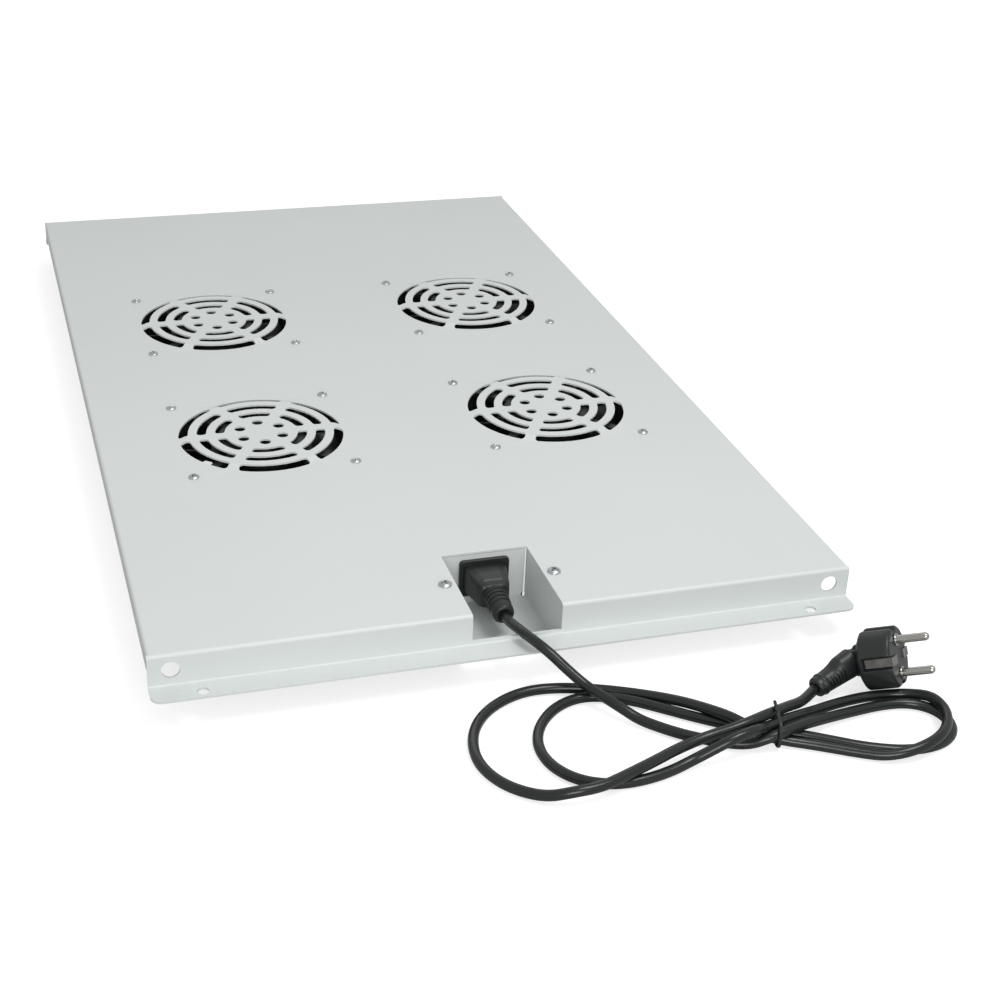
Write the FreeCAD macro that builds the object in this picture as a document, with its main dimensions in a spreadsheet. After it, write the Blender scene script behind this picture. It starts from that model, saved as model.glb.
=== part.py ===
"""Rack fan tray: a folded steel panel that carries four mains fans, with its plug-in cord set.

The origin is the middle of the footprint of the tray without its cord, on the surface it stands on.
+X points to the right, +Y to the back and +Z up. All sizes are millimetres.
"""
import FreeCAD, Part
import math
import os
import Sketcher

Vector = FreeCAD.Vector

SIZES = {
    # Folded panel: one sheet with a wall and an out-turned lip at the front and back.
    "tray_width": 414, "tray_depth": 704, "sheet_gauge": 1.2, "bend_radius": 2,
    "wall_drop": 19.4, "lip_depth": 15.4, "lip_corner": 6.5,
    "flange_drop": 11, "flange_corner": 4, "corner_gap": 2,
    "lip_hole_bore": 6.5, "lip_hole_reach": 179, "lip_hole_inset": 9.7,
    "wall_hole_bore": 10, "wall_hole_reach": 194.5, "wall_hole_drop": 9.8,
    # Pressed grilles: three rings of slots between six spokes, and a ring of round holes.
    "fan_pitch_across": 200, "fan_pitch_along": 200, "grille_lift": 1.8,
    "plateau_radius": 50.5, "ramp_radius": 54.5, "grille_radius": 58.5,
    "hub_hole_ring": 15, "hub_hole_bore": 7.5, "slot_width": 6.3, "slot_corner": 2.4,
    "inner_slot_radius": 27.4, "middle_slot_radius": 39.4, "outer_slot_radius": 51.4,
    "spoke_width": 7.2,
    # Fan frame.
    "fan_size": 119, "fan_depth": 38, "fan_hole_pitch": 105,
    "fan_flange": 4, "fan_corner": 5, "duct_bore": 112, "duct_wall": 2.5,
    "strut_width": 6, "strut_depth": 4, "motor_plate_radius": 29,
    # Motor.
    "running_clearance": 0.05, "seat_clearance": 0.1, "shaft_radius": 2,
    "bearing_radius": 6.5, "bearing_width": 5, "bearing_tube_wall": 2.5,
    "core_radius": 26, "core_height": 12, "core_eye": 4, "pole_width": 8, "pole_shoe": 4,
    "pole_gap": 3, "coil_thickness": 3.5, "air_gap": 0.6, "cup_wall": 4.4, "cup_floor": 2,
    "cup_height": 26, "cup_gap": 3, "boss_radius": 5, "boss_height": 3.5,
    # Impeller.
    "hub_wall": 2, "blade_count": 7, "blade_thickness": 1.8, "blade_height": 23,
    "blade_root_lean": 11, "blade_tip_lean": 17, "tip_clearance": 1.3,
    # Fasteners.
    "screw_radius": 2, "screw_play": 0.5, "fan_hole_bore": "=2 * screw_radius + screw_play",
    "screw_length": 10, "fan_head_radius": 3.4, "fan_head_height": 2.1,
    "pocket_head_radius": 4, "pocket_head_height": 2.4, "nut_across": 7, "nut_height": 3.2,
    # Connector pocket, a box folded on its own and hung under the panel.
    "pocket_width": 53, "pocket_length": 68, "pocket_depth": 34, "notch_drop": 17,
    "pocket_flange": 12, "pocket_screw_inset": 6.5,
    "pocket_screw_reach": "=pocket_width / 2 + pocket_screw_inset", "pocket_screw_set": 35.5,
    "seam_gap": 0.8, "relief_bore": 2.4, "pocket_relief": 9,
    # Mains inlet.
    "inlet_width": 27, "inlet_height": 20, "inlet_depth": 18, "inlet_drop": 16.5,
    "bezel_width": 30.7, "bezel_height": 24, "bezel_thickness": 2.6, "bezel_corner": 2.5,
    "cavity_width": 24.4, "cavity_height": 16.4, "cavity_depth": 17.5,
    "blade_wide": 4, "blade_thin": 2, "blade_reach": 14, "blade_spread": 7, "earth_offset": 4,
    "tab_reach": 8,
    # Cord connector.
    "nose_clearance": 0.3, "nose_length": 16, "connector_width": 26, "connector_height": 17.5,
    "connector_length": 22, "connector_end_width": 18, "connector_end_height": 15.5,
    "boot_length": 19, "boot_radius": 7, "boot_end_radius": 6.2, "boot_drop": 1.8,
    # Wiring under the panel.
    "lead_bore": 5, "inlet_lead_bore": 6.5, "earth_lead_bore": 3,
    "terminal_offset": 40, "terminal_wide": 12, "terminal_tall": 10, "terminal_base": 20,
    "lead_plug_length": 12.5, "tab_thickness": 0.8, "tab_width": 2.8,
    "block_set": 128, "block_wide": 48, "block_deep": 18, "block_tall": 14, "block_way": 10,
    "lug_thickness": 0.8, "lug_radius": 4,
    # Cord and plug.
    "cord_diameter": 6, "hank_height": 12, "waist_height": 17, "tie_gauge": 1.2, "tie_width": 1.8,
    "plug_radius": 17.8, "plug_flat": 16.7, "plug_length": 18.5, "plug_bevel": 1.5,
    "plug_shoulder": 5, "plug_neck": 2, "plug_neck_radius": 8, "plug_neck_set": 3.5,
    "plug_boot_end_radius": 5.6,
    "groove_width": 6, "groove_depth": 2, "clip_slot_width": 7, "clip_slot_depth": 3.4,
    "earth_clip_width": 5, "earth_clip_gauge": 0.9, "earth_clip_lip": 8,
    "pin_radius": 2.4, "pin_length": 19, "pin_spacing": 19, "pin_root": 8,
    "pin_collar_radius": 3.6, "pin_collar_height": 0.8,
}

doc = FreeCAD.newDocument("fan_tray")
dims = doc.addObject("Spreadsheet::Sheet", "dims")
for row, (alias, number) in enumerate(SIZES.items(), start=1):
    dims.set(f"A{row}", alias)
    dims.set(f"B{row}", str(number))
    dims.setAlias(f"B{row}", alias)
doc.recompute()

nodes = []

# Levels and places that several pieces share, as expressions on the sheet.
TOP = "(dims.fan_depth + dims.sheet_gauge)"
UNDERSIDE = "dims.fan_depth"
HALF_WIDTH = "(dims.tray_width / 2)"
HALF_DEPTH = "(dims.tray_depth / 2)"
POCKET_BACK = f"(dims.pocket_length - {HALF_DEPTH})"
INLET_LEVEL = f"({TOP} - dims.inlet_drop)"
MOTOR_PLATE = "(dims.fan_depth - dims.strut_depth)"
CUP_TOP = f"({MOTOR_PLATE} - dims.cup_gap)"
CUP_BASE = f"({CUP_TOP} - dims.cup_height)"
TUBE_BASE = f"({CUP_BASE} + dims.cup_floor + dims.boss_height + 0.5)"
CORE_BASE = f"({MOTOR_PLATE} - 5 - dims.core_height)"
CUP_RADIUS = "(dims.core_radius + dims.air_gap + dims.cup_wall)"
FANS = {
    "front_left": ("-dims.fan_pitch_across / 2", "-dims.fan_pitch_along / 2"),
    "front_right": ("dims.fan_pitch_across / 2", "-dims.fan_pitch_along / 2"),
    "back_left": ("-dims.fan_pitch_across / 2", "dims.fan_pitch_along / 2"),
    "back_right": ("dims.fan_pitch_across / 2", "dims.fan_pitch_along / 2"),
}


def value(text):
    """The number that an expression on the sheet gives."""
    return float(dims.evalExpression(str(text)))


def bind(thing, **sizes):
    """Bind properties of an object to expressions on the sheet."""
    for name, text in sizes.items():
        thing.setExpression(name, str(text))
    return thing


def place(thing, x="0", y="0", z="0"):
    """Put an object's origin at three expressions."""
    for axis, text in zip("xyz", (x, y, z)):
        thing.setExpression(f"Placement.Base.{axis}", str(text))
    return thing


def turn(thing, axis, angle):
    """Turn an object about an axis through its own origin."""
    thing.Placement = FreeCAD.Placement(thing.Placement.Base, FreeCAD.Rotation(Vector(*axis), angle))
    return thing


def box(name, x, y, z):
    """A box between pairs of expressions for its low and high sides."""
    solid = bind(doc.addObject("Part::Box", name), Length=f"{x[1]} - ({x[0]})",
                 Width=f"{y[1]} - ({y[0]})", Height=f"{z[1]} - ({z[0]})")
    return place(solid, x[0], y[0], z[0])


def cylinder(name, radius, height, x="0", y="0", z="0"):
    """An upright cylinder that stands on the point given."""
    return place(bind(doc.addObject("Part::Cylinder", name), Radius=radius, Height=height), x, y, z)


def cut(name, base, tool):
    result = doc.addObject("Part::Cut", name)
    result.Base, result.Tool = base, tool
    return result


def common(name, first, second):
    result = doc.addObject("Part::Common", name)
    result.Base, result.Tool = first, second
    return result


def fuse(name, pieces):
    result = doc.addObject("Part::MultiFuse", name)
    result.Shapes = pieces
    result.Refine = True
    return result


def group(name, pieces):
    result = doc.addObject("Part::Compound", name)
    result.Links = pieces
    return result


def copies(name, piece, places):
    """A group of one piece repeated at several places."""
    spots = [place(group(f"{name}_spot", [piece]), *spot) for spot in places]
    return group(name, spots)


def node(thing, label):
    """Keep an object as a finished sub-part under its own label."""
    thing.Label = label
    nodes.append(thing)
    return thing


def new_sketch(body, role, lift="0", spin=0):
    """A sketch on one of its body's origin planes, lifted along the plane's normal."""
    sketch = body.newObject("Sketcher::SketchObject", f"{body.Name}_sketch")
    plane = next(item for item in body.Origin.OriginFeatures if item.Role == role)
    sketch.AttachmentSupport = (plane, [""])
    sketch.MapMode = "FlatFace"
    sketch.AttachmentOffset = FreeCAD.Placement(Vector(), FreeCAD.Rotation(Vector(0, 0, 1), spin))
    sketch.setExpression("AttachmentOffset.Base.z", str(lift))
    return sketch


def pin_point(sketch, item, end, x, y):
    """Hold a point of the sketch at two expressions, measured from its origin."""
    for kind, text in (("DistanceX", x), ("DistanceY", y)):
        number = sketch.addConstraint(Sketcher.Constraint(kind, -1, 1, item, end, value(text)))
        sketch.setExpression(f"Constraints[{number}]", str(text))


def draw_polygon(sketch, corners):
    """A closed outline of straight lines with every corner held by expressions."""
    spots = [Vector(value(x), value(y), 0) for x, y in corners]
    first = sketch.GeometryCount
    for start, end in zip(spots, spots[1:] + spots[:1]):
        sketch.addGeometry(Part.LineSegment(start, end), False)
    for step, (x, y) in enumerate(corners):
        line = first + step
        after = first + (step + 1) % len(corners)
        sketch.addConstraint(Sketcher.Constraint("Coincident", line, 2, after, 1))
        pin_point(sketch, line, 1, x, y)


def draw_rectangle(sketch, x, y):
    """A rectangle between pairs of expressions for its low and high sides."""
    draw_polygon(sketch, [(x[0], y[0]), (x[1], y[0]), (x[1], y[1]), (x[0], y[1])])


def draw_circle(sketch, radius, x="0", y="0"):
    ring = sketch.addGeometry(Part.Circle(Vector(value(x), value(y), 0), Vector(0, 0, 1),
                                          value(radius)), False)
    pin_point(sketch, ring, 3, x, y)
    number = sketch.addConstraint(Sketcher.Constraint("Radius", ring, value(radius)))
    sketch.setExpression(f"Constraints[{number}]", str(radius))


def new_body(name):
    return doc.addObject("PartDesign::Body", name)


def pad(body, sketch, length, both_ways=False):
    feature = body.newObject("PartDesign::Pad", f"{body.Name}_pad")
    feature.Profile = sketch
    feature.setExpression("Length", str(length))
    feature.Midplane = both_ways
    return feature


def pocket_through(body, sketch):
    feature = body.newObject("PartDesign::Pocket", f"{body.Name}_hole")
    feature.Profile = sketch
    feature.Type = "ThroughAll"
    feature.Midplane = True
    return feature


def pocket_up(body, sketch, depth):
    """A pocket that goes the way the sketch faces."""
    feature = body.newObject("PartDesign::Pocket", f"{body.Name}_pocket")
    feature.Profile = sketch
    feature.setExpression("Length", str(depth))
    feature.Reversed = True
    return feature


def revolve(body, corners):
    """A solid of revolution about the upright axis from an outline of radius and height."""
    sketch = new_sketch(body, "XZ_Plane")
    draw_polygon(sketch, corners)
    feature = body.newObject("PartDesign::Revolution", f"{body.Name}_turned")
    feature.Profile = sketch
    feature.ReferenceAxis = (sketch, ["V_Axis"])
    feature.Angle = 360
    return feature


def edges_at(shape, **spots):
    """Names of the straight edges whose two ends both lie at the coordinates given."""
    found = []
    for number, edge in enumerate(shape.Edges, start=1):
        ends = [vertex.Point for vertex in edge.Vertexes]
        straight = len(ends) == 2 and isinstance(edge.Curve, (Part.Line, Part.LineSegment))
        level = [getattr(ends[0], axis) for axis in spots]
        if straight and all(abs(getattr(ends[1], axis) - here) < 0.01 and abs(abs(here) - abs(spot)) < 0.01
                            for (axis, spot), here in zip(spots.items(), level)):
            found.append(f"Edge{number}")
    return found


def round_edges(body, radius, **spots):
    """Round the edges of a body's last feature that lie at the coordinates given, on all sides."""
    doc.recompute()
    base = body.Tip
    feature = body.newObject("PartDesign::Fillet", f"{body.Name}_round")
    feature.Base = (base, edges_at(base.Shape, **spots))
    feature.setExpression("Radius", str(radius))
    return feature


# ---------------------------------------------------------------- folded panel

def end_walls(name, width):
    """The sheet bent from lip to lip: front lip and wall, top, back wall and lip, as wide as asked."""
    half, drop, gauge = HALF_DEPTH, "dims.wall_drop", "dims.sheet_gauge"
    inside, edge = f"({half} - {gauge})", f"({half} + dims.lip_depth)"
    lip_top, lip_under = f"({TOP} - {drop})", f"({TOP} - {drop} - {gauge})"
    along = new_body(name)
    sketch = new_sketch(along, "YZ_Plane")
    draw_polygon(sketch, [
        (f"-{edge}", lip_top), (f"-{half}", lip_top), (f"-{half}", TOP), (half, TOP),
        (half, lip_top), (edge, lip_top), (edge, lip_under), (inside, lip_under),
        (inside, UNDERSIDE), (f"-{inside}", UNDERSIDE), (f"-{inside}", lip_under),
        (f"-{edge}", lip_under)])
    pad(along, sketch, width, both_ways=True)
    inner = "dims.bend_radius - dims.sheet_gauge"
    round_edges(along, "dims.bend_radius", y=value(half), z=value(TOP))
    round_edges(along, "dims.bend_radius", y=value(inside), z=value(lip_under))
    round_edges(along, inner, y=value(half), z=value(lip_top))
    round_edges(along, inner, y=value(inside), z=value(UNDERSIDE))
    round_edges(along, "dims.lip_corner", y=value(edge), x=value(f"({width}) / 2"))
    return along


def folded_sheet():
    """The bent blank: top, end walls that lap the corners, and two side flanges that stop short of them."""
    half, gauge = HALF_DEPTH, "dims.sheet_gauge"
    inner = "dims.bend_radius - dims.sheet_gauge"
    along = end_walls("panel_walls", "dims.tray_width - 2 * dims.corner_gap")
    between = box("between_walls", (f"-{HALF_WIDTH} - 1", f"{HALF_WIDTH} + 1"),
                  (f"dims.corner_gap - {half}", f"{half} - dims.corner_gap"), ("0", f"{TOP} + 1"))
    ends = cut("wall_ends", end_walls("full_walls", "dims.tray_width"), between)
    across = new_body("panel_flanges")
    side, web = HALF_WIDTH, f"({HALF_WIDTH} - {gauge})"
    foot = f"({TOP} - dims.flange_drop)"
    sketch = new_sketch(across, "XZ_Plane")
    draw_polygon(sketch, [
        (f"-{side}", foot), (f"-{side}", TOP), (side, TOP), (side, foot), (web, foot),
        (web, UNDERSIDE), (f"-{web}", UNDERSIDE), (f"-{web}", foot)])
    pad(across, sketch, "dims.tray_depth - 2 * dims.corner_gap", both_ways=True)
    round_edges(across, "dims.bend_radius", x=value(side), z=value(TOP))
    round_edges(across, inner, x=value(web), z=value(UNDERSIDE))
    round_edges(across, "dims.flange_corner", y=value(f"{half} - dims.corner_gap"), z=value(foot))
    return fuse("panel_blank", [along, ends, across])


def grille_openings():
    """The slots and holes of one grille, as the punches that make them."""
    deep, low = "12", f"{TOP} - 6"
    spokes = []
    for angle in (0, 60, 120):
        bar = bind(doc.addObject("Part::Box", "spoke"), Length="4 * dims.grille_radius",
                   Width="dims.spoke_width", Height="2 * dims.fan_depth")
        middle = FreeCAD.Rotation(Vector(0, 0, 1), angle)
        bar.Placement = FreeCAD.Placement(Vector(), middle)
        reach = middle.multVec(Vector(-2 * value("dims.grille_radius"), -value("dims.spoke_width") / 2, 0))
        spokes.append(place(bar, reach.x, reach.y, "0"))
    web = fuse("spokes", spokes)
    slots = []
    for ring in ("inner", "middle", "outer"):
        middle = f"dims.{ring}_slot_radius"
        wide = cylinder(f"{ring}_outside", f"{middle} + dims.slot_width / 2", deep, z=low)
        narrow = cylinder(f"{ring}_inside", f"{middle} - dims.slot_width / 2", deep, z=low)
        sharp = cut(f"{ring}_slots", cut(f"{ring}_ring", wide, narrow), web)
        doc.recompute()
        rounded = doc.addObject("Part::Fillet", f"{ring}_punches")
        rounded.Base = sharp
        radius = value("dims.slot_corner")
        rounded.Edges = [(number, radius, radius) for number, item in enumerate(sharp.Shape.Edges, 1)
                         if isinstance(item.Curve, (Part.Line, Part.LineSegment))
                         and abs(item.tangentAt(item.FirstParameter).z) > 0.99]
        slots.append(rounded)
    for step in range(6):
        angle = math.radians(30 + 60 * step)
        slots.append(cylinder("hub_hole", "dims.hub_hole_bore / 2", deep,
                              f"dims.hub_hole_ring * {math.cos(angle):.6f}",
                              f"dims.hub_hole_ring * {math.sin(angle):.6f}", low))
    return group("grille_punches", slots)


def pressed_grille():
    """The raised round of sheet over one fan, with its sloping rim."""
    body = new_body("grille_press")
    lift, gauge = f"({TOP} + dims.grille_lift)", "dims.sheet_gauge"
    revolve(body, [
        ("0", lift), ("dims.plateau_radius", lift), ("dims.ramp_radius", TOP),
        ("dims.grille_radius", TOP), ("dims.grille_radius", UNDERSIDE),
        (f"dims.ramp_radius - {gauge} / 2", UNDERSIDE),
        (f"dims.plateau_radius - {gauge} / 2", f"{lift} - {gauge}"), ("0", f"{lift} - {gauge}")])
    return body


def signs():
    return [(x, y) for x in (-1, 1) for y in (-1, 1)]


def screw_places():
    """Where the four screws of each fan stand."""
    half = "dims.fan_hole_pitch / 2"
    return [(f"{x} + {i} * {half}", f"{y} + {j} * {half}", "0")
            for x, y in FANS.values() for i, j in signs()]


def tray_panel():
    centres = [(x, y, "0") for x, y in FANS.values()]
    window = cylinder("grille_window", "dims.grille_radius", "4 * dims.sheet_gauge",
                      z=f"{UNDERSIDE} - 2 * dims.sheet_gauge")
    open_sheet = cut("panel_windows", folded_sheet(), copies("windows", window, centres))
    pressed = fuse("panel_pressed", [open_sheet, copies("presses", pressed_grille(), centres)])
    lip_hole = cylinder("lip_hole", "dims.lip_hole_bore / 2", "4 * dims.sheet_gauge",
                        z=f"{TOP} - dims.wall_drop - 2 * dims.sheet_gauge")
    lip_line = f"({HALF_DEPTH} + dims.lip_hole_inset)"
    lip_holes = copies("lip_holes", lip_hole,
                       [(f"{i} * dims.lip_hole_reach", f"{j} * {lip_line}", "0") for i, j in signs()])
    wall_hole = cylinder("wall_hole", "dims.wall_hole_bore / 2", "dims.tray_depth + 4", "0",
                         f"{HALF_DEPTH} + 2", f"{TOP} - dims.wall_hole_drop")
    turn(wall_hole, (1, 0, 0), 90)
    wall_holes = copies("wall_holes", wall_hole, [(f"{i} * dims.wall_hole_reach", "0", "0")
                                                  for i in (-1, 1)])
    screw_hole = cylinder("screw_hole", "dims.fan_hole_bore / 2", "4 * dims.sheet_gauge",
                          z=f"{UNDERSIDE} - dims.sheet_gauge")
    screw_holes = copies("screw_holes", screw_hole, screw_places() + pocket_screw_places())
    notch = box("notch", ("-dims.pocket_width / 2", "dims.pocket_width / 2"),
                (f"-{HALF_DEPTH} - 2", POCKET_BACK), (f"{TOP} - dims.notch_drop", f"{TOP} + 2"))
    grilles = copies("grilles", grille_openings(), centres)
    punches = group("panel_punches", [lip_holes, wall_holes, screw_holes, notch, grilles])
    node(cut("panel", pressed, punches), "tray_panel")


# ---------------------------------------------------------------- fasteners

def pocket_screw_places():
    line = f"(dims.pocket_screw_set - {HALF_DEPTH})"
    return [(f"{side} * dims.pocket_screw_reach", line, "0") for side in (-1, 1)]


def pan_screw(name, radius, height, length):
    """A pan head with a cross recess, and a plain shank for its thread."""
    body = new_body(f"{name}_turning")
    revolve(body, [
        ("0", f"{TOP} - ({length})"), ("dims.screw_radius", f"{TOP} - ({length})"),
        ("dims.screw_radius", TOP), (radius, TOP), (radius, f"{TOP} + 0.4 * {height}"),
        (f"0.8 * {radius}", f"{TOP} + 0.85 * {height}"), (f"0.4 * {radius}", f"{TOP} + {height}"),
        ("0", f"{TOP} + {height}")])
    arms = [box(f"{name}_arm", (f"-{wide}", wide), (f"-{thin}", thin),
                (f"{TOP} + 0.3 * {height}", f"{TOP} + 2 * {height}"))
            for wide, thin in ((f"0.55 * {radius}", "0.4"), ("0.4", f"0.55 * {radius}"))]
    return cut(name, body, fuse(f"{name}_cross", arms))


def hex_nut(name, seat):
    """A hexagon nut whose upper face bears at the level given."""
    prism = bind(doc.addObject("Part::Prism", f"{name}_blank"), Circumradius="dims.nut_across / 1.732",
                 Height="dims.nut_height")
    prism.Polygon = 6
    place(prism, z=f"{seat} - dims.nut_height")
    bore = cylinder(f"{name}_bore", "dims.screw_radius + dims.running_clearance",
                    "2 * dims.nut_height", z=f"{seat} - 1.5 * dims.nut_height")
    return cut(name, prism, bore)


def fasteners():
    fan_screw = pan_screw("fan_screw", "dims.fan_head_radius", "dims.fan_head_height",
                          "dims.screw_length")
    node(copies("fan_screw_set", fan_screw, screw_places()), "fan_screws")
    flange = f"({UNDERSIDE} - dims.fan_flange)"
    node(copies("fan_nut_set", hex_nut("fan_nut", flange), screw_places()), "fan_nuts")
    pocket_screw = pan_screw("pocket_screw", "dims.pocket_head_radius", "dims.pocket_head_height",
                             "dims.screw_length - 3")
    node(copies("pocket_screw_set", pocket_screw, pocket_screw_places()), "pocket_screws")
    ear = f"({UNDERSIDE} - dims.sheet_gauge)"
    left, right = pocket_screw_places()
    seats = [left, (right[0], right[1], "-dims.lug_thickness")]
    node(copies("pocket_nut_set", hex_nut("pocket_nut", ear), seats), "pocket_nuts")


# ---------------------------------------------------------------- fans

def fan_frame(side, x, y):
    """Die-cast frame: two square flanges on a round duct, with a window for the terminals."""
    body = new_body(f"{side}_frame")
    half, duct = "dims.fan_size / 2", "dims.duct_bore / 2"
    square = (f"-{half}", half)
    for lift in ("0", "dims.fan_depth - dims.fan_flange"):
        sketch = new_sketch(body, "XY_Plane", lift)
        if lift == "0":
            draw_rectangle(sketch, square, square)
            pad(body, sketch, "dims.fan_flange")
            tube = new_sketch(body, "XY_Plane")
            draw_circle(tube, f"{duct} + dims.duct_wall")
            pad(body, tube, "dims.fan_depth")
        else:
            draw_rectangle(sketch, square, square)
            pad(body, sketch, "dims.fan_flange")
    edge = value(half)
    round_edges(body, "dims.fan_corner", x=edge, y=edge)
    opening = new_sketch(body, "XY_Plane")
    draw_circle(opening, duct)
    pocket_through(body, opening)
    holes = new_sketch(body, "XY_Plane")
    for i, j in signs():
        draw_circle(holes, "dims.fan_hole_bore / 2", f"{i} * dims.fan_hole_pitch / 2",
                    f"{j} * dims.fan_hole_pitch / 2")
    pocket_through(body, holes)
    window = terminal_box(f"{side}_window", "dims.seat_clearance")
    whole = cut(f"{side}_casting", body, window)
    node(place(whole, x, y), f"{side}_fan_frame")


def motor_mount(side, x, y):
    """Cast spider across the duct: four struts, the motor's plate and the bearing tube under it."""
    body = new_body(f"{side}_spider")
    struts = new_sketch(body, "XY_Plane", MOTOR_PLATE, spin=45)
    near = "dims.strut_width / 2"
    far = "(sqrt((dims.duct_bore / 2) ^ 2 - (dims.strut_width / 2) ^ 2) - dims.seat_clearance)"
    draw_polygon(struts, [
        (near, near), (far, near), (far, f"-{near}"), (near, f"-{near}"), (near, f"-{far}"),
        (f"-{near}", f"-{far}"), (f"-{near}", f"-{near}"), (f"-{far}", f"-{near}"),
        (f"-{far}", near), (f"-{near}", near), (f"-{near}", far), (near, far)])
    pad(body, struts, "dims.strut_depth")
    plate = new_sketch(body, "XY_Plane", MOTOR_PLATE)
    draw_circle(plate, "dims.motor_plate_radius")
    pad(body, plate, "dims.strut_depth")
    tube = new_sketch(body, "XY_Plane", TUBE_BASE)
    draw_circle(tube, "dims.bearing_radius + dims.bearing_tube_wall")
    pad(body, tube, f"{MOTOR_PLATE} - {TUBE_BASE}")
    bore = new_sketch(body, "XY_Plane", TUBE_BASE)
    draw_circle(bore, "dims.bearing_radius + dims.running_clearance")
    pocket_up(body, bore, f"{MOTOR_PLATE} - {TUBE_BASE} + 0.5")
    node(place(group(f"{side}_mount", [body]), x, y), f"{side}_motor_mount")


def terminal_box(name, clearance):
    """The space of a fan's terminal housing, in the front left corner of its frame."""
    middle, wide = "dims.terminal_offset", f"(dims.terminal_wide / 2 + {clearance})"
    return box(name, (f"-{middle} - {wide}", f"-{middle} + {wide}"),
               ("-dims.fan_size / 2 + 2.5", f"-{middle} + 2"),
               (f"dims.terminal_base - {clearance}",
                f"dims.terminal_base + dims.terminal_tall + {clearance}"))


def fan_terminals(side, x, y):
    """Terminal housing, flush with the duct inside."""
    duct = cylinder(f"{side}_duct_space", "dims.duct_bore / 2 + dims.seat_clearance", "dims.fan_depth")
    housing = cut(f"{side}_terminal_block", terminal_box(f"{side}_terminal_blank", "0"), duct)
    slots = group(f"{side}_tab_slots", tab_pair(f"{side}_slot", "dims.running_clearance"))
    node(place(cut(f"{side}_terminal_housing", housing, slots), x, y), f"{side}_fan_terminals")


def tab_pair(name, clearance):
    """The two flat tabs of one fan, standing out of the front of its terminal housing."""
    level = "(dims.terminal_base + dims.terminal_tall / 2)"
    front = "(-dims.fan_size / 2 + 2.5)"
    tabs = []
    for step in (-1, 1):
        middle = f"(-dims.terminal_offset + {step} * dims.terminal_wide / 4)"
        tabs.append(box(f"{name}_tab",
                        (f"{middle} - dims.tab_width / 2 - {clearance}",
                         f"{middle} + dims.tab_width / 2 + {clearance}"),
                        (f"{front} - dims.tab_reach - {clearance}", f"{front} + 5 + {clearance}"),
                        (f"{level} - dims.tab_thickness / 2 - {clearance}",
                         f"{level} + dims.tab_thickness / 2 + {clearance}")))
    return tabs


def stator(side, x, y):
    """Motor core with four poles, and a coil on each pole."""
    base, tall = CORE_BASE, "dims.core_height"
    tube = "(dims.bearing_radius + dims.bearing_tube_wall)"
    eye = f"({tube} + dims.core_eye)"
    shoe = "(dims.core_radius - dims.pole_shoe)"
    rim = cut(f"{side}_core_rim", cylinder(f"{side}_core_disc", "dims.core_radius", tall, z=base),
              cylinder(f"{side}_core_space", shoe, tall, z=base))
    gaps = []
    for angle in (45, 135):
        gap = bind(doc.addObject("Part::Box", f"{side}_pole_gap"), Length="3 * dims.core_radius",
                   Width="dims.pole_gap", Height=tall)
        spin = FreeCAD.Rotation(Vector(0, 0, 1), angle)
        gap.Placement = FreeCAD.Placement(Vector(), spin)
        corner = spin.multVec(Vector(-1.5 * value("dims.core_radius"), -value("dims.pole_gap") / 2, 0))
        gaps.append(place(gap, corner.x, corner.y, base))
    shoes = cut(f"{side}_pole_shoes", rim, group(f"{side}_pole_gaps", gaps))
    half, long = "dims.pole_width / 2", f"({shoe} + dims.pole_shoe / 2)"
    arms = [box(f"{side}_arm", (f"-{a}", a), (f"-{b}", b), (base, f"{base} + {tall}"))
            for a, b in ((long, half), (half, long))]
    whole = fuse(f"{side}_core_whole", [shoes, cylinder(f"{side}_core_eye", eye, tall, z=base)] + arms)
    bore = cylinder(f"{side}_core_bore", f"{tube} + dims.running_clearance", tall, z=base)
    node(place(cut(f"{side}_core", whole, bore), x, y), f"{side}_motor_core")
    coils = []
    thick, snug = "dims.coil_thickness", "dims.seat_clearance"
    near, far = f"({eye} + 0.5)", f"({shoe} - 2)"
    for i, j in ((1, 0), (-1, 0), (0, 1), (0, -1)):
        wide, hole = f"({half} + {thick})", f"({half} + {snug})"
        for_x = ((near, far) if i > 0 else (f"-{far}", f"-{near}")) if i else None
        for_y = ((near, far) if j > 0 else (f"-{far}", f"-{near}")) if j else None
        outer = box(f"{side}_winding", for_x or (f"-{wide}", wide), for_y or (f"-{wide}", wide),
                    (f"{base} - {thick}", f"{base} + {tall} + {thick}"))
        inner = box(f"{side}_bobbin", for_x or (f"-{hole}", hole), for_y or (f"-{hole}", hole),
                    (f"{base} - {snug}", f"{base} + {tall} + {snug}"))
        coils.append(cut(f"{side}_coil", outer, inner))
    node(place(group(f"{side}_coil_set", coils), x, y), f"{side}_motor_coils")


def fan_bearings():
    """Two like bearings in each fan's tube, at its two ends."""
    ring = cut("race", cylinder("race_outside", "dims.bearing_radius", "dims.bearing_width"),
               cylinder("race_bore", "dims.shaft_radius + dims.running_clearance", "dims.bearing_width"))
    levels = (f"{TUBE_BASE} + 0.5", f"{MOTOR_PLATE} - dims.bearing_width")
    node(copies("races", ring, [(x, y, level) for x, y in FANS.values() for level in levels]),
         "fan_bearings")


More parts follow.
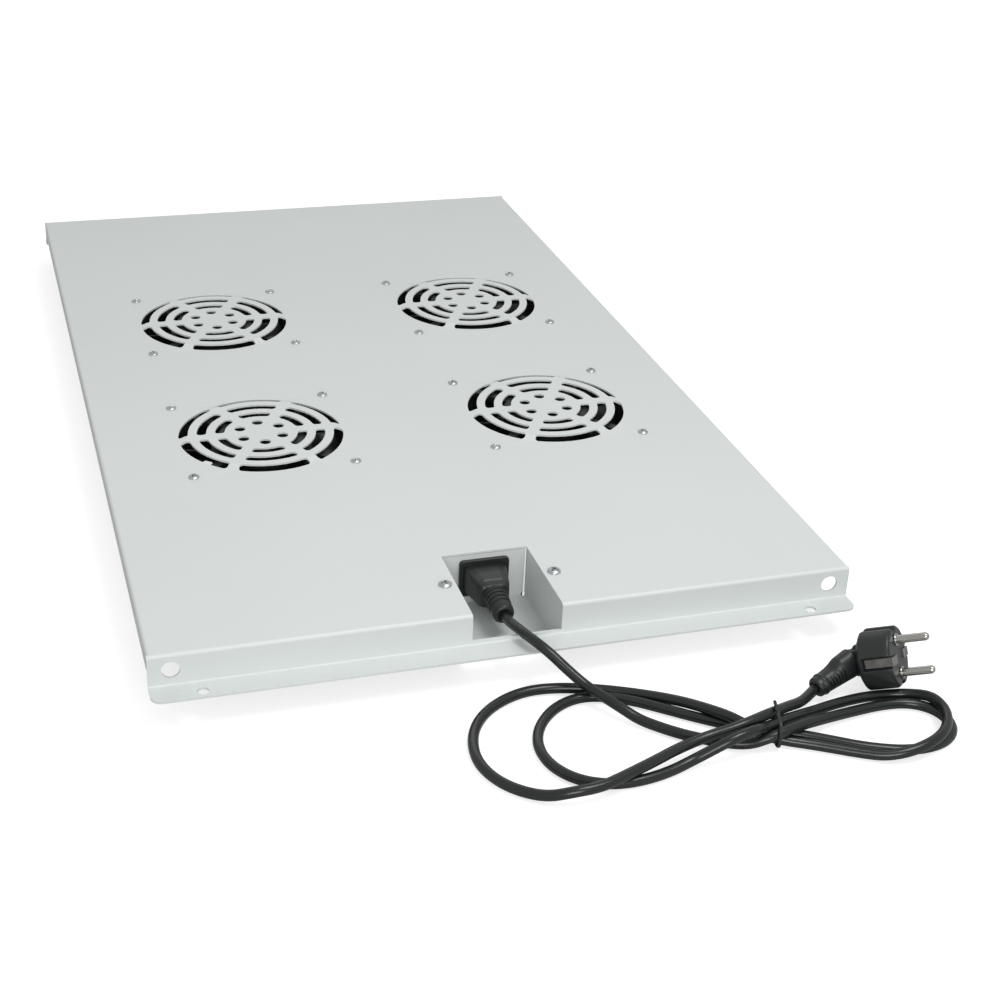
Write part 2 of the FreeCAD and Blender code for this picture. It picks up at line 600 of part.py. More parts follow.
def rotor(side, x, y):
    """Shaft, steel rotor cup and the bladed wheel on it."""
    shaft = cylinder(f"{side}_spindle", "dims.shaft_radius", f"{MOTOR_PLATE} - {CUP_BASE} - 1",
                     z=f"{CUP_BASE} + 0.5")
    node(place(group(f"{side}_axle", [shaft]), x, y), f"{side}_fan_shaft")
    cup = new_body(f"{side}_cup")
    inside = "(dims.core_radius + dims.air_gap)"
    floor = f"({CUP_BASE} + dims.cup_floor)"
    hole = "(dims.shaft_radius + dims.running_clearance / 2)"
    revolve(cup, [
        (hole, CUP_BASE), (CUP_RADIUS, CUP_BASE), (CUP_RADIUS, CUP_TOP), (inside, CUP_TOP),
        (inside, floor), ("dims.boss_radius", floor),
        ("dims.boss_radius", f"{floor} + dims.boss_height"), (hole, f"{floor} + dims.boss_height")])
    node(place(group(f"{side}_cup_at", [cup]), x, y), f"{side}_rotor_cup")
    impeller(side, x, y)


def impeller(side, x, y):
    """A moulded wheel: a band round the rotor cup, with leaning blades trimmed to the duct."""
    wheel = new_body(f"{side}_wheel")
    bore, band = f"({CUP_RADIUS} + dims.running_clearance / 2)", f"({CUP_RADIUS} + dims.hub_wall)"
    low, high = f"({CUP_TOP} - dims.blade_height - 1)", f"({CUP_TOP} - 1)"
    revolve(wheel, [(bore, low), (band, low), (band, high), (bore, high)])
    tip = "(dims.duct_bore / 2 - dims.tip_clearance)"
    thick = "(dims.blade_thickness / 2)"
    sections = []
    for reach, lean in ((f"{band} - 1.2", "dims.blade_root_lean"), (f"{tip} + 2", "dims.blade_tip_lean")):
        sketch = new_sketch(wheel, "YZ_Plane", reach)
        draw_polygon(sketch, [
            (f"-{lean} - {thick}", f"{low} + 1"), (f"-{lean} + {thick}", f"{low} + 1"),
            (f"{lean} + {thick}", f"{high} - 1"), (f"{lean} - {thick}", f"{high} - 1")])
        sections.append(sketch)
    blade = wheel.newObject("PartDesign::AdditiveLoft", f"{side}_blade")
    blade.Profile = sections[0]
    blade.Sections = sections[1:]
    blade.Ruled = True
    doc.recompute()
    ring = wheel.newObject("PartDesign::PolarPattern", f"{side}_blades")
    ring.Originals = [blade]
    upright = next(item for item in wheel.Origin.OriginFeatures if item.Role == "Z_Axis")
    ring.Axis = (upright, [""])
    ring.Angle = 360
    bind(ring, Occurrences="dims.blade_count")
    wheel.Tip = ring
    swept = cylinder(f"{side}_swept_space", tip, "dims.fan_depth")
    node(place(common(f"{side}_blade_wheel", wheel, swept), x, y), f"{side}_impeller")


# ---------------------------------------------------------------- connector pocket and inlet

def inlet_pocket():
    """Folded box: floor, two sides with out-turned ears, and a back wall with open corner seams."""
    gauge, half = "dims.sheet_gauge", "(dims.pocket_width / 2 + 0.2)"
    outside, ear = f"({half} + {gauge})", f"({half} + {gauge} + dims.pocket_flange)"
    floor = f"({TOP} - dims.pocket_depth)"
    front, back = f"(-{HALF_DEPTH} + {gauge} + 1)", POCKET_BACK
    body = new_body("pocket_fold")
    sketch = new_sketch(body, "XZ_Plane", f"-{back}")
    draw_polygon(sketch, [
        (f"-{ear}", UNDERSIDE), (f"-{half}", UNDERSIDE), (f"-{half}", floor), (half, floor),
        (half, UNDERSIDE), (ear, UNDERSIDE), (ear, f"{UNDERSIDE} - {gauge}"),
        (outside, f"{UNDERSIDE} - {gauge}"), (outside, f"{floor} - {gauge}"),
        (f"-{outside}", f"{floor} - {gauge}"), (f"-{outside}", f"{UNDERSIDE} - {gauge}"),
        (f"-{ear}", f"{UNDERSIDE} - {gauge}")])
    pad(body, sketch, f"{back} - ({front})")
    round_edges(body, "1", x=value(half), z=value(UNDERSIDE))
    round_edges(body, "1", x=value(half), z=value(floor))
    round_edges(body, "1.8", x=value(outside), z=value(f"{floor} - {gauge}"))
    sketch = new_sketch(body, "XZ_Plane", f"-({back} + {gauge})")
    draw_rectangle(sketch, (f"-{half} + dims.seam_gap", f"{half} - dims.seam_gap"),
                   (f"{floor} - {gauge}", f"{UNDERSIDE} - 0.3"))
    pad(body, sketch, gauge)
    opening = new_sketch(body, "XZ_Plane", f"-({back} + {gauge} / 2)")
    wide, tall = (f"(dims.inlet_{side} / 2 + dims.seat_clearance)" for side in ("width", "height"))
    draw_rectangle(opening, (f"-{wide}", wide), (f"{INLET_LEVEL} - {tall}", f"{INLET_LEVEL} + {tall}"))
    hole = body.newObject("PartDesign::Pocket", "inlet_opening")
    hole.Profile = opening
    hole.Midplane = True
    hole.setExpression("Length", "4 * dims.sheet_gauge")
    ears = new_sketch(body, "XY_Plane")
    for x, y, _ in pocket_screw_places():
        draw_circle(ears, "dims.fan_hole_bore / 2", x, y)
    pocket_through(body, ears)
    reliefs = [cylinder("corner_relief", "dims.relief_bore / 2", "3 * dims.sheet_gauge",
                        f"{side} * ({half} - dims.seam_gap)", back, f"{floor} - dims.sheet_gauge - 0.2")
               for side in (-1, 1)]
    reliefs.append(box("front_relief", (f"-{outside} - 1", f"{outside} + 1"),
                       (f"{front} - 1", f"{front} + dims.pocket_relief"),
                       (f"{floor} - 2 * {gauge}", f"{floor} + dims.pocket_relief / 2")))
    node(cut("pocket_box", body, group("pocket_reliefs", reliefs)), "inlet_pocket")


def contact_blades(name, front, back, clearance):
    """Three flat contacts between two places along the cord's axis: live, neutral and earth."""
    blades = []
    for x, lift in (("-dims.blade_spread", "0"), ("dims.blade_spread", "0"), ("0", "dims.earth_offset")):
        wide, thin = f"(dims.blade_thin / 2 + {clearance})", f"(dims.blade_wide / 2 + {clearance})"
        level = f"({INLET_LEVEL} - 2 + {lift})"
        blades.append(box(name, (f"{x} - {wide}", f"{x} + {wide}"), (front, back),
                          (f"{level} - {thin}", f"{level} + {thin}")))
    return blades


def mains_inlet():
    """Snap-in inlet: bezel in front of the pocket's back wall, body through it, three contacts."""
    back, gauge = POCKET_BACK, "dims.sheet_gauge"
    body = new_body("inlet_moulding")
    face = f"({back} - dims.bezel_thickness)"
    end = f"({back} + {gauge} + dims.inlet_depth)"
    sketch = new_sketch(body, "XZ_Plane", f"-{back}")
    wide, tall = "(dims.bezel_width / 2)", "(dims.bezel_height / 2)"
    draw_rectangle(sketch, (f"-{wide}", wide), (f"{INLET_LEVEL} - {tall}", f"{INLET_LEVEL} + {tall}"))
    pad(body, sketch, "dims.bezel_thickness")
    for edge in (f"{INLET_LEVEL} - {tall}", f"{INLET_LEVEL} + {tall}"):
        round_edges(body, "dims.bezel_corner", x=value(wide), z=value(edge))
    sketch = new_sketch(body, "XZ_Plane", f"-({end})")
    wide, tall = "(dims.inlet_width / 2)", "(dims.inlet_height / 2)"
    draw_rectangle(sketch, (f"-{wide}", wide), (f"{INLET_LEVEL} - {tall}", f"{INLET_LEVEL} + {tall}"))
    pad(body, sketch, f"{end} - {back}")
    wide, tall = "dims.cavity_width / 2", "dims.cavity_height / 2"
    cavity = box("inlet_cavity", (f"-{wide}", wide), (f"{face} - 1", f"{face} + dims.cavity_depth"),
                 (f"{INLET_LEVEL} - {tall}", f"{INLET_LEVEL} + {tall}"))
    slots = contact_blades("blade_slot", face, f"{end} + 1", "dims.running_clearance")
    node(cut("inlet_whole", body, group("inlet_cuts", [cavity] + slots)), "inlet_housing")
    start = f"({face} + dims.cavity_depth - dims.blade_reach)"
    blades = contact_blades("inlet_blade", start, f"{end} + dims.tab_reach", "0")
    node(group("inlet_blade_set", blades), "inlet_contacts")


# ---------------------------------------------------------------- cord set

def connector():
    """Cord connector: a nose in the inlet, a tapered grip and a ribbed boot round the cord."""
    face = f"({POCKET_BACK} - dims.bezel_thickness)"
    snug = "dims.nose_clearance"
    wide, tall = f"(dims.cavity_width / 2 - {snug})", f"(dims.cavity_height / 2 - {snug})"
    nose = box("connector_nose", (f"-{wide}", wide), (f"{face} - {snug} - 1", f"{face} + dims.nose_length"),
               (f"{INLET_LEVEL} - {tall}", f"{INLET_LEVEL} + {tall}"))
    grip = doc.addObject("Part::Wedge", "connector_grip")
    end_wide, end_tall = "dims.connector_end_width / 2", "dims.connector_end_height / 2"
    wide, tall = "dims.connector_width / 2", "dims.connector_height / 2"
    bind(grip, Xmin=f"-{end_wide}", Xmax=end_wide, Zmin=f"-{end_tall}", Zmax=end_tall, Ymin="0",
         Ymax="dims.connector_length", X2min=f"-{wide}", X2max=wide, Z2min=f"-{tall}", Z2max=tall)
    grip_end = f"({face} - {snug} - dims.connector_length)"
    place(grip, "0", grip_end, INLET_LEVEL)
    doc.recompute()
    rounded = doc.addObject("Part::Fillet", "connector_rounded")
    rounded.Base = grip
    rounded.Edges = [(number, 0.7, 0.7) for number in range(1, 13)]
    boot = bind(doc.addObject("Part::Cone", "connector_boot"), Radius1="dims.boot_radius",
                Radius2="dims.boot_end_radius", Height="dims.boot_length + 2")
    start = (0, value(f"{grip_end} + 2"), value(INLET_LEVEL))
    aim = Vector(0, -value("dims.boot_length"), -value("dims.boot_drop"))
    boot.Placement = FreeCAD.Placement(Vector(*start), FreeCAD.Rotation(Vector(0, 0, 1), aim))
    place(boot, "0", f"{grip_end} + 2", INLET_LEVEL)
    whole = fuse("connector_body", [nose, rounded, boot])
    slots = contact_blades("connector_slot", f"{face} - 4", f"{face} + dims.nose_length + 1", "0.4")
    node(cut("connector_moulding", whole, group("connector_slots", slots)), "connector_housing")


def boot_end():
    """The middle of the connector boot's end and the way the cord leaves it."""
    aim = Vector(0, -value("dims.boot_length"), -value("dims.boot_drop")).normalize()
    start = Vector(0, value(f"{POCKET_BACK} - dims.bezel_thickness - dims.nose_clearance"
                            " - dims.connector_length + 2"), value(INLET_LEVEL))
    return start + aim * value("dims.boot_length + 2"), aim


def rounded_tube(name, points, diameter):
    """A tube along straight runs joined by tangent arcs, each as large as its two runs allow."""
    spots = [Vector(*point) for point in points]
    edges, radii, here = [], [], spots[0]
    for before, corner, after in zip(spots, spots[1:], spots[2:]):
        back, ahead = before - corner, after - corner
        turn_angle = math.pi - back.getAngle(ahead)
        setback = 0.45 * min(back.Length, ahead.Length)
        radii.append(round(setback / math.tan(turn_angle / 2), 1))
        start = corner + back.normalize() * setback
        end = corner + ahead.normalize() * setback
        toward = (back + ahead).normalize()
        swell = radii[-1] * (1 / math.cos(turn_angle / 2) - 1)
        edges.append(Part.LineSegment(here, start).toShape())
        edges.append(Part.Arc(start, corner + toward * swell, end).toShape())
        here = end
    edges.append(Part.LineSegment(here, spots[-1]).toShape())
    path = Part.Wire(edges)
    section = Part.Wire(Part.Circle(spots[0], spots[1] - spots[0], diameter / 2).toShape())
    tube = path.makePipeShell([section], True, True)
    expected = math.pi * diameter ** 2 / 4 * path.Length
    print(f"{name}: length {path.Length:.1f} mm, radii {min(radii):.1f} to {max(radii):.1f} mm, "
          f"volume {tube.Volume / expected:.4f} of section times length")
    feature = doc.addObject("Part::Feature", name)
    feature.Shape = tube
    return feature


# The cord's route from the connector boot to the hank, and from the hank to the plug, by hand.
CORD_RUN = [(3, -349, 28.5), (10, -367, 28), (19, -380, 20), (26, -390, 11), (31, -398, 9)]
CORD_TAIL = [(126, -445, 12)]
HANK_OUTLINE = [
    (-52, -452), (-52, -404), (-22, -375), (20, -376), (74, -399), (101, -428), (109, -444),
    (128, -444), (140, -438), (205, -437), (222, -448), (222, -474), (202, -491), (165, -491),
    (128, -470), (122, -464), (102, -464), (85, -474), (45, -485), (-18, -485)]
WAIST = ((109, 128), (-463, -445))
TIE_PLACE = 119
PLUG_FACE = (202.4, -425.1, 23.62)
PLUG_BACK_END = (153.8, -422.2, 7.5)
PLUG_YAW, PLUG_PITCH, PLUG_ROLL = -40, 23, -16.5


def cord():
    """The free cord: a run from the connector, a tied figure-of-eight hank, a tail to the plug."""
    size = value("dims.cord_diameter")
    end, aim = boot_end()
    route = [tuple(end), tuple(end + aim * 9)] + CORD_RUN
    first = node(rounded_tube("cord_first_run", route, size), "cord_run")
    body = new_body("hank_coil")
    sketch = new_sketch(body, "XY_Plane")
    draw_polygon(sketch, HANK_OUTLINE)
    pad(body, sketch, "dims.hank_height")
    raised = new_sketch(body, "XY_Plane")
    draw_rectangle(raised, *WAIST)
    pad(body, raised, "dims.waist_height")
    low, high = TIE_PLACE - value("dims.tie_width") / 2, TIE_PLACE + value("dims.tie_width") / 2
    near, far = WAIST[1]
    slot = box("tie_slot", (low, high), (near - 20, far + 20), ("-1", "dims.waist_height + 1"))
    keep = box("tie_core", (low - 1, high + 1), (f"{near} + dims.tie_gauge", f"{far} - dims.tie_gauge"),
               ("dims.tie_gauge", "dims.waist_height - dims.tie_gauge"))
    groove = cut("tie_groove", slot, keep)
    band = box("tie_band", (low, high), (near, far), ("0", "dims.waist_height"))
    loop = cut("tie_loop", band, keep)
    twist = bind(doc.addObject("Part::Cylinder", "tie_twist"), Radius="dims.tie_width / 2", Height="9")
    twist.Placement = FreeCAD.Placement(Vector(TIE_PLACE, far - 4, value("dims.waist_height") + 0.6),
                                        FreeCAD.Rotation(Vector(0, 0, 1), Vector(-4, 5, 3)))
    node(fuse("tie_whole", [loop, twist]), "twist_tie")
    back_end, neck = Vector(*PLUG_BACK_END), plug_neck_end()
    tail_aim = (back_end - neck).normalize()
    tail = [tuple(back_end), tuple(back_end + tail_aim * 11)] + CORD_TAIL
    last = node(rounded_tube("cord_last_run", tail, size), "cord_tail")
    node(cut("hank_grooved", body, group("hank_grooves", [groove, first, last])), "cord_hank")


def plug_turn():
    """How the plug lies: on its rim and its boot, with its pins turned up and leaning over."""
    return (FreeCAD.Rotation(Vector(0, 0, 1), PLUG_YAW) * FreeCAD.Rotation(Vector(0, 1, 0), -PLUG_PITCH)
            * FreeCAD.Rotation(Vector(1, 0, 0), PLUG_ROLL))


def plug_neck_end():
    """The middle of the plug's knuckle, set to one side of its neck, where its boot begins."""
    reach = value("dims.plug_length + dims.plug_shoulder + dims.plug_neck")
    return Vector(*PLUG_FACE) + plug_turn().multVec(Vector(-reach, -value("dims.plug_neck_set"), 0))


def lay_plug(thing):
    thing.Placement = FreeCAD.Placement(Vector(*PLUG_FACE), plug_turn())
    return thing


def mains_plug():
    """Round two-pin plug with side earth clips. It is drawn along +X with its pins one over the other."""
    body = new_body("plug_turning")
    neck = "dims.plug_length + dims.plug_shoulder + dims.plug_neck"
    revolve(body, [
        ("0", "0"), ("dims.plug_radius - dims.plug_bevel", "0"), ("dims.plug_radius", "-dims.plug_bevel"),
        ("dims.plug_radius", "-dims.plug_length"),
        ("dims.plug_neck_radius", "-dims.plug_length - dims.plug_shoulder"),
        ("dims.plug_neck_radius", f"-({neck})"), ("0", f"-({neck})")])
    upright = turn(group("plug_upright", [body]), (0, 1, 0), 90)
    wide, whole = "(dims.plug_radius + 1)", ("-dims.plug_length - dims.plug_shoulder", "1")
    flats = [box("plug_flat_side", whole, (f"-{wide}", wide), span)
             for span in (("dims.plug_flat", wide), (f"-{wide}", "-dims.plug_flat"))]
    wide, deep = "dims.groove_width / 2", "(dims.plug_flat - dims.groove_depth)"
    grooves = flats + [box("plug_groove", whole, (f"-{wide}", wide), span)
                       for span in ((deep, "dims.plug_radius + 2"), ("-dims.plug_radius - 2", f"-{deep}"))]
    wide, deep = "dims.clip_slot_width / 2", "(dims.plug_radius - dims.clip_slot_depth)"
    grooves += [box("clip_slot", ("-dims.plug_length + 2", "1"), span, (f"-{wide}", wide))
                for span in ((deep, "dims.plug_radius + 2"), ("-dims.plug_radius - 2", f"-{deep}"))]
    for side in (-1, 1):
        hole = cylinder("pin_hole", "dims.pin_radius + dims.running_clearance", "dims.pin_root + 1",
                        "-dims.pin_root", "0", f"{side} * dims.pin_spacing / 2")
        grooves.append(turn(hole, (0, 1, 0), 90))
    face = lay_plug(group("plug_head", [cut("plug_cut", upright, group("plug_cuts", grooves))]))
    back_end, neck_end = Vector(*PLUG_BACK_END), plug_neck_end()
    aim = (back_end - neck_end).normalize()
    boot = bind(doc.addObject("Part::Cone", "plug_boot"), Radius1="0.93 * dims.plug_neck_radius",
                Radius2="dims.plug_boot_end_radius")
    start = neck_end - aim * 1.5
    boot.Height = (back_end - start).Length
    boot.Placement = FreeCAD.Placement(start, FreeCAD.Rotation(Vector(0, 0, 1), aim))
    knuckle = bind(doc.addObject("Part::Sphere", "plug_knuckle"), Radius="0.97 * dims.plug_neck_radius")
    knuckle.Placement = FreeCAD.Placement(neck_end, FreeCAD.Rotation(Vector(0, 0, 1), aim))
    grip = bind(doc.addObject("Part::Wedge", "plug_thumb_grip"), Xmin="-4.5", Xmax="4.5", Zmin="0",
                Zmax="21", Ymin="0", Ymax="5.5", X2min="-3.5", X2max="3.5", Z2min="6", Z2max="13")
    side = aim.cross(Vector(0, 0, 1)).normalize()
    up = side.cross(aim).normalize()
    grip.Placement = FreeCAD.Placement(neck_end + up * 5 - aim * 1, FreeCAD.Rotation(side * -1, up, aim))
    node(fuse("plug_moulding", [face, boot, knuckle, grip]), "plug_body")
    pin = new_body("pin_turning")
    tip, radius = "dims.pin_length", "dims.pin_radius"
    revolve(pin, [
        ("0", "-dims.pin_root"), (radius, "-dims.pin_root"), (radius, "0"),
        ("dims.pin_collar_radius", "0"), ("dims.pin_collar_radius", "dims.pin_collar_height"),
        (radius, "dims.pin_collar_height"), (radius, f"{tip} - 1.8"), (f"0.75 * {radius}", f"{tip} - 0.5"),
        (f"0.4 * {radius}", tip), ("0", tip)])
    pins = [place(group("pin_at", [turn(group("pin_laid", [pin]), (0, 1, 0), 90)]),
                  "0", "0", f"{side_sign} * dims.pin_spacing / 2") for side_sign in (-1, 1)]
    node(lay_plug(group("pin_pair", pins)), "plug_pins")
    seat = "(dims.plug_radius - dims.clip_slot_depth)"
    clips = []
    for low, high in ((seat, f"{seat} + dims.earth_clip_gauge"),
                      (f"-{seat} - dims.earth_clip_gauge", f"-{seat}")):
        across = ("-dims.earth_clip_width / 2", "dims.earth_clip_width / 2")
        front = "0.05 + dims.earth_clip_gauge"
        strip = box("earth_strip", ("-dims.plug_length + 3", front), (low, high), across)
        reach = "dims.earth_clip_lip"
        inner = (f"{low} - {reach}", high) if low == seat else (low, f"{high} + {reach}")
        lip = box("earth_lip", ("0.05", front), inner, across)
        clips.append(fuse("earth_clip", [strip, lip]))
    node(lay_plug(group("earth_strips", clips)), "plug_earth_clips")


# ---------------------------------------------------------------- wiring under the panel

def lead_exit(x, y):
    """Where a fan's lead leaves its plug."""
    reach = "dims.fan_size / 2 - 2.5 + dims.lead_plug_length + 0.3"
    return Vector(value(f"{x} - dims.terminal_offset"), value(f"{y} - ({reach})"),
                  value("dims.terminal_base + dims.terminal_tall / 2"))


def fan_leads():
    """One lead from each fan, along the panel's underside, to the terminal block."""
    size = value("dims.lead_bore")
    block_back = value(f"dims.block_set - {HALF_DEPTH} + dims.block_deep / 2")
    entry_level = value(f"{UNDERSIDE} - dims.block_tall / 2")
    way = value("dims.block_way")
    run_level = value(UNDERSIDE) - size / 2 - 3.5
    for number, (side, (x, y)) in enumerate(FANS.items()):
        start = lead_exit(x, y)
        entry = Vector((-1.5, 1.5, -0.5, 0.5)[number] * way, block_back, entry_level)
        toward = math.copysign(1, entry.x - start.x)
        lane = start.y - 22
        points = [start, start + Vector(0, -9, 0), Vector(start.x + toward * 4, lane + 5, run_level - 1),
                  Vector(start.x + toward * 18, lane, run_level)]
        across = abs(entry.x - start.x) - 40
        steps = max(1, math.ceil(across / 45)) if across > 30 else 0
        for step in range(1, steps + 1):
            drift = 1.5 if step % 2 else 0
            spot = start.x + toward * (18 + across * step / (steps + 0.3))
            points.append(Vector(spot, lane + drift, run_level))
        points.append(Vector(entry.x - toward * 5, lane - 4, run_level))
        drop = lane - 4 - block_back
        runs = max(1, math.ceil(drop / 48))
        for step in range(1, runs):
            drift = 1.2 if step % 2 else -1.2
            points.append(Vector(entry.x + drift, lane - 4 - drop * step / runs, run_level))
        points += [entry + Vector(0, 8, 0), entry]
        node(rounded_tube(f"{side}_cable", points, size), f"{side}_fan_lead")


def lead_plugs():
    """The moulded plug that pushes onto a fan's two tabs."""
    front = "(-dims.fan_size / 2 + 2.5)"
    middle, wide = "dims.terminal_offset", "(dims.terminal_wide / 2)"
    blank = box("lead_plug_blank", (f"-{middle} - {wide}", f"-{middle} + {wide}"),
                (f"{front} - 0.3 - dims.lead_plug_length", f"{front} - 0.3"),
                ("dims.terminal_base", "dims.terminal_base + dims.terminal_tall"))
    slots = tab_pair("lead_plug_slot", "dims.seat_clearance")
    plug = cut("lead_plug", blank, group("lead_plug_slots", slots))
    centres = [(x, y, "0") for x, y in FANS.values()]
    node(copies("lead_plug_set", plug, centres), "fan_lead_plugs")
    tabs = group("tab_set", tab_pair("fan_tab", "0"))
    node(copies("tab_sets", tabs, centres), "fan_tabs")


def terminal_block():
    """Terminal strip under the panel, with a wire screw over each way."""
    middle, wide = f"(dims.block_set - {HALF_DEPTH})", "dims.block_wide / 2"
    deep = "dims.block_deep / 2"
    level = f"({UNDERSIDE} - dims.block_tall)"
    blank = box("block_blank", (f"-{wide}", wide), (f"{middle} - {deep}", f"{middle} + {deep}"),
                (level, UNDERSIDE))
    places = [(f"{step} * dims.block_way", middle, "0") for step in (-1.5, -0.5, 0.5, 1.5)]
    well = cylinder("screw_well", "2.6", "6", z=f"{level} - 1")
    node(cut("block_moulding", blank, copies("screw_wells", well, places)), "terminal_block")
    screw = cylinder("wire_screw", "2.3", "3.5", z=f"{level} + 1.4")
    slot = box("wire_screw_slot", ("-3", "3"), ("-0.35", "0.35"), (f"{level} + 0.4", f"{level} + 2.2"))
    node(copies("wire_screws", cut("wire_screw_cut", screw, slot), places), "terminal_screws")


def inlet_wiring():
    """The lead from the inlet to the terminal block, and the earth lead to its screw."""
    tab_end = f"({POCKET_BACK} + dims.sheet_gauge + dims.inlet_depth)"
    block_front = f"(dims.block_set - {HALF_DEPTH} - dims.block_deep / 2)"
    start = Vector(0, value(f"{tab_end} + dims.tab_reach"), value(INLET_LEVEL) - 0.5)
    end = Vector(0, value(block_front), value(f"{UNDERSIDE} - dims.block_tall / 2"))
    gap = end - start
    points = [start, start + Vector(0, gap.y * 0.35, 0), start + Vector(0, gap.y * 0.65, gap.z), end]
    node(rounded_tube("supply_cable", points, value("dims.inlet_lead_bore")), "inlet_lead")
    x, y, _ = pocket_screw_places()[1]
    screw = Vector(value(x), value(y), value(UNDERSIDE) - value("dims.sheet_gauge + dims.lug_thickness"))
    behind = value(tab_end)
    points = [Vector(9.5, behind + 0.2, 28), Vector(9.5, behind + 9, 28), Vector(18, behind + 17, 30),
              Vector(screw.x - 1, behind + 14, 31.5), Vector(screw.x + 5, behind - 2, 32.5),
              Vector(screw.x + 5, behind - 19, 33),
              screw + Vector(1, 17, -1.5), screw + Vector(0, 6, -1)]
    lead = rounded_tube("earth_wire", points, value("dims.earth_lead_bore"))
    top = f"({UNDERSIDE} - dims.sheet_gauge)"
    under = f"{top} - dims.lug_thickness"
    tongue = box("lug_tongue", (f"{x} - 1.5", f"{x} + 1.5"), (y, f"{y} + 9"), (under, top))
    disc = cylinder("lug_disc", "dims.lug_radius", "dims.lug_thickness", x, y, under)
    hole = cylinder("lug_hole", "dims.screw_radius + dims.running_clearance", "6", x, y, f"{top} - 3")
    node(fuse("earth_wire_whole", [lead, cut("earth_lug", fuse("lug_blank", [tongue, disc]), hole)]),
         "earth_lead")


tray_panel()
fasteners()
for fan_side, (fan_x, fan_y) in FANS.items():
    fan_frame(fan_side, fan_x, fan_y)
    motor_mount(fan_side, fan_x, fan_y)
    fan_terminals(fan_side, fan_x, fan_y)
    stator(fan_side, fan_x, fan_y)
    rotor(fan_side, fan_x, fan_y)
fan_bearings()
inlet_pocket()
mains_inlet()
terminal_block()
lead_plugs()
fan_leads()
inlet_wiring()
connector()
cord()
mains_plug()
doc.recompute()

for item in doc.Objects:
    if "Invalid" in item.State or "Error" in item.State:
        raise RuntimeError(f"{item.Label} failed: {item.State}")
for item in nodes:
    if item.Shape.isNull() or not item.Shape.isValid():
        raise RuntimeError(f"{item.Label} has no valid shape")

os.makedirs("parts", exist_ok=True)
for item in nodes:
    item.Shape.exportStep(f"parts/{item.Label}.step")
print(len(nodes), "nodes written")
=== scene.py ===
"""Looks of a rack fan tray: a folded steel panel with four mains fans, a recessed inlet and its cord."""
import bmesh
import bpy
import numpy as np
from mathutils import Matrix, Vector


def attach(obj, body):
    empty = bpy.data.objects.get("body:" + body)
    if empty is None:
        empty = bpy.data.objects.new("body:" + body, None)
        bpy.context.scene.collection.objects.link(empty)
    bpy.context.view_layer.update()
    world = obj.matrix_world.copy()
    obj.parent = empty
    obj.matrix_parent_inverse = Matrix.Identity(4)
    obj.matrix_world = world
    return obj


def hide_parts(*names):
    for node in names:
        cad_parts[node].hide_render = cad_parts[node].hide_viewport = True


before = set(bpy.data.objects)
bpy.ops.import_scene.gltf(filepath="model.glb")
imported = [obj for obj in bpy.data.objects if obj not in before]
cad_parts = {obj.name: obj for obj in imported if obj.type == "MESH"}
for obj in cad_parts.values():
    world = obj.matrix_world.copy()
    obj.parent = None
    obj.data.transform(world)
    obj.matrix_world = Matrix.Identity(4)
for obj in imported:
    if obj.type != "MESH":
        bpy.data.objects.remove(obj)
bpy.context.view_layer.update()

# ---------------------------------------------------------------- tray panel and connector pocket
# One sheet of 1.2 mm steel, folded down at all four sides and out again in a lip at the front and
# back. Four grilles are pressed up and punched. The pocket is a second folded sheet, screwed under
# it. Both are powder coated light grey, which leaves a fine orange peel and softens every edge.


def linear(code):
    """An sRGB hex code as linear red, green, blue and alpha."""
    part = np.array([int(code[i:i + 2], 16) for i in (0, 2, 4)]) / 255
    part = np.where(part <= 0.04045, part / 12.92, ((part + 0.055) / 1.055) ** 2.4)
    return (*part, 1.0)


def add_node(tree, kind, inputs=(), **settings):
    """Adds one node with its settings. Each input is a number, a colour or another node's socket."""
    node = tree.nodes.new(kind)
    for name, value in settings.items():
        setattr(node, name, value)
    for name, value in dict(inputs).items():
        if isinstance(value, bpy.types.NodeSocket):
            tree.links.new(value, node.inputs[name])
        else:
            node.inputs[name].default_value = value
    return node


def start_finish(name, **sockets):
    """A new material with constants on its shader's own sockets. Gives it back with its tree, its shader
    and the Object coordinates."""
    material = bpy.data.materials.new(name)
    material.use_nodes = True
    tree = material.node_tree
    shader = tree.nodes["Principled BSDF"]
    for socket, value in sockets.items():
        shader.inputs[socket].default_value = value
    place = add_node(tree, "ShaderNodeTexCoord").outputs["Object"]
    return material, tree, shader, place


def per_metre(size_mm):
    """The scale of a pattern whose repeat is that many millimetres."""
    return 1000.0 / size_mm


def smooth(mesh, angle=30):
    """Soft shading, with an edge kept sharp where its two faces turn by more than the angle in degrees."""
    mesh.shade_smooth()
    mesh.set_sharp_from_angle(angle=np.radians(angle))


def put(piece, body, material, stands_for=()):
    """Gives a finished piece its material, its body and the CAD nodes it stands for."""
    piece.data.materials.clear()
    piece.data.materials.append(material)
    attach(piece, body)
    if stands_for:
        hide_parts(*stands_for)
    return piece


WELD = 1e-5  # Metres within which the loose corners of a node's triangles are one corner.
CORNER = 40  # Degrees that an edge has to turn before it is rounded.


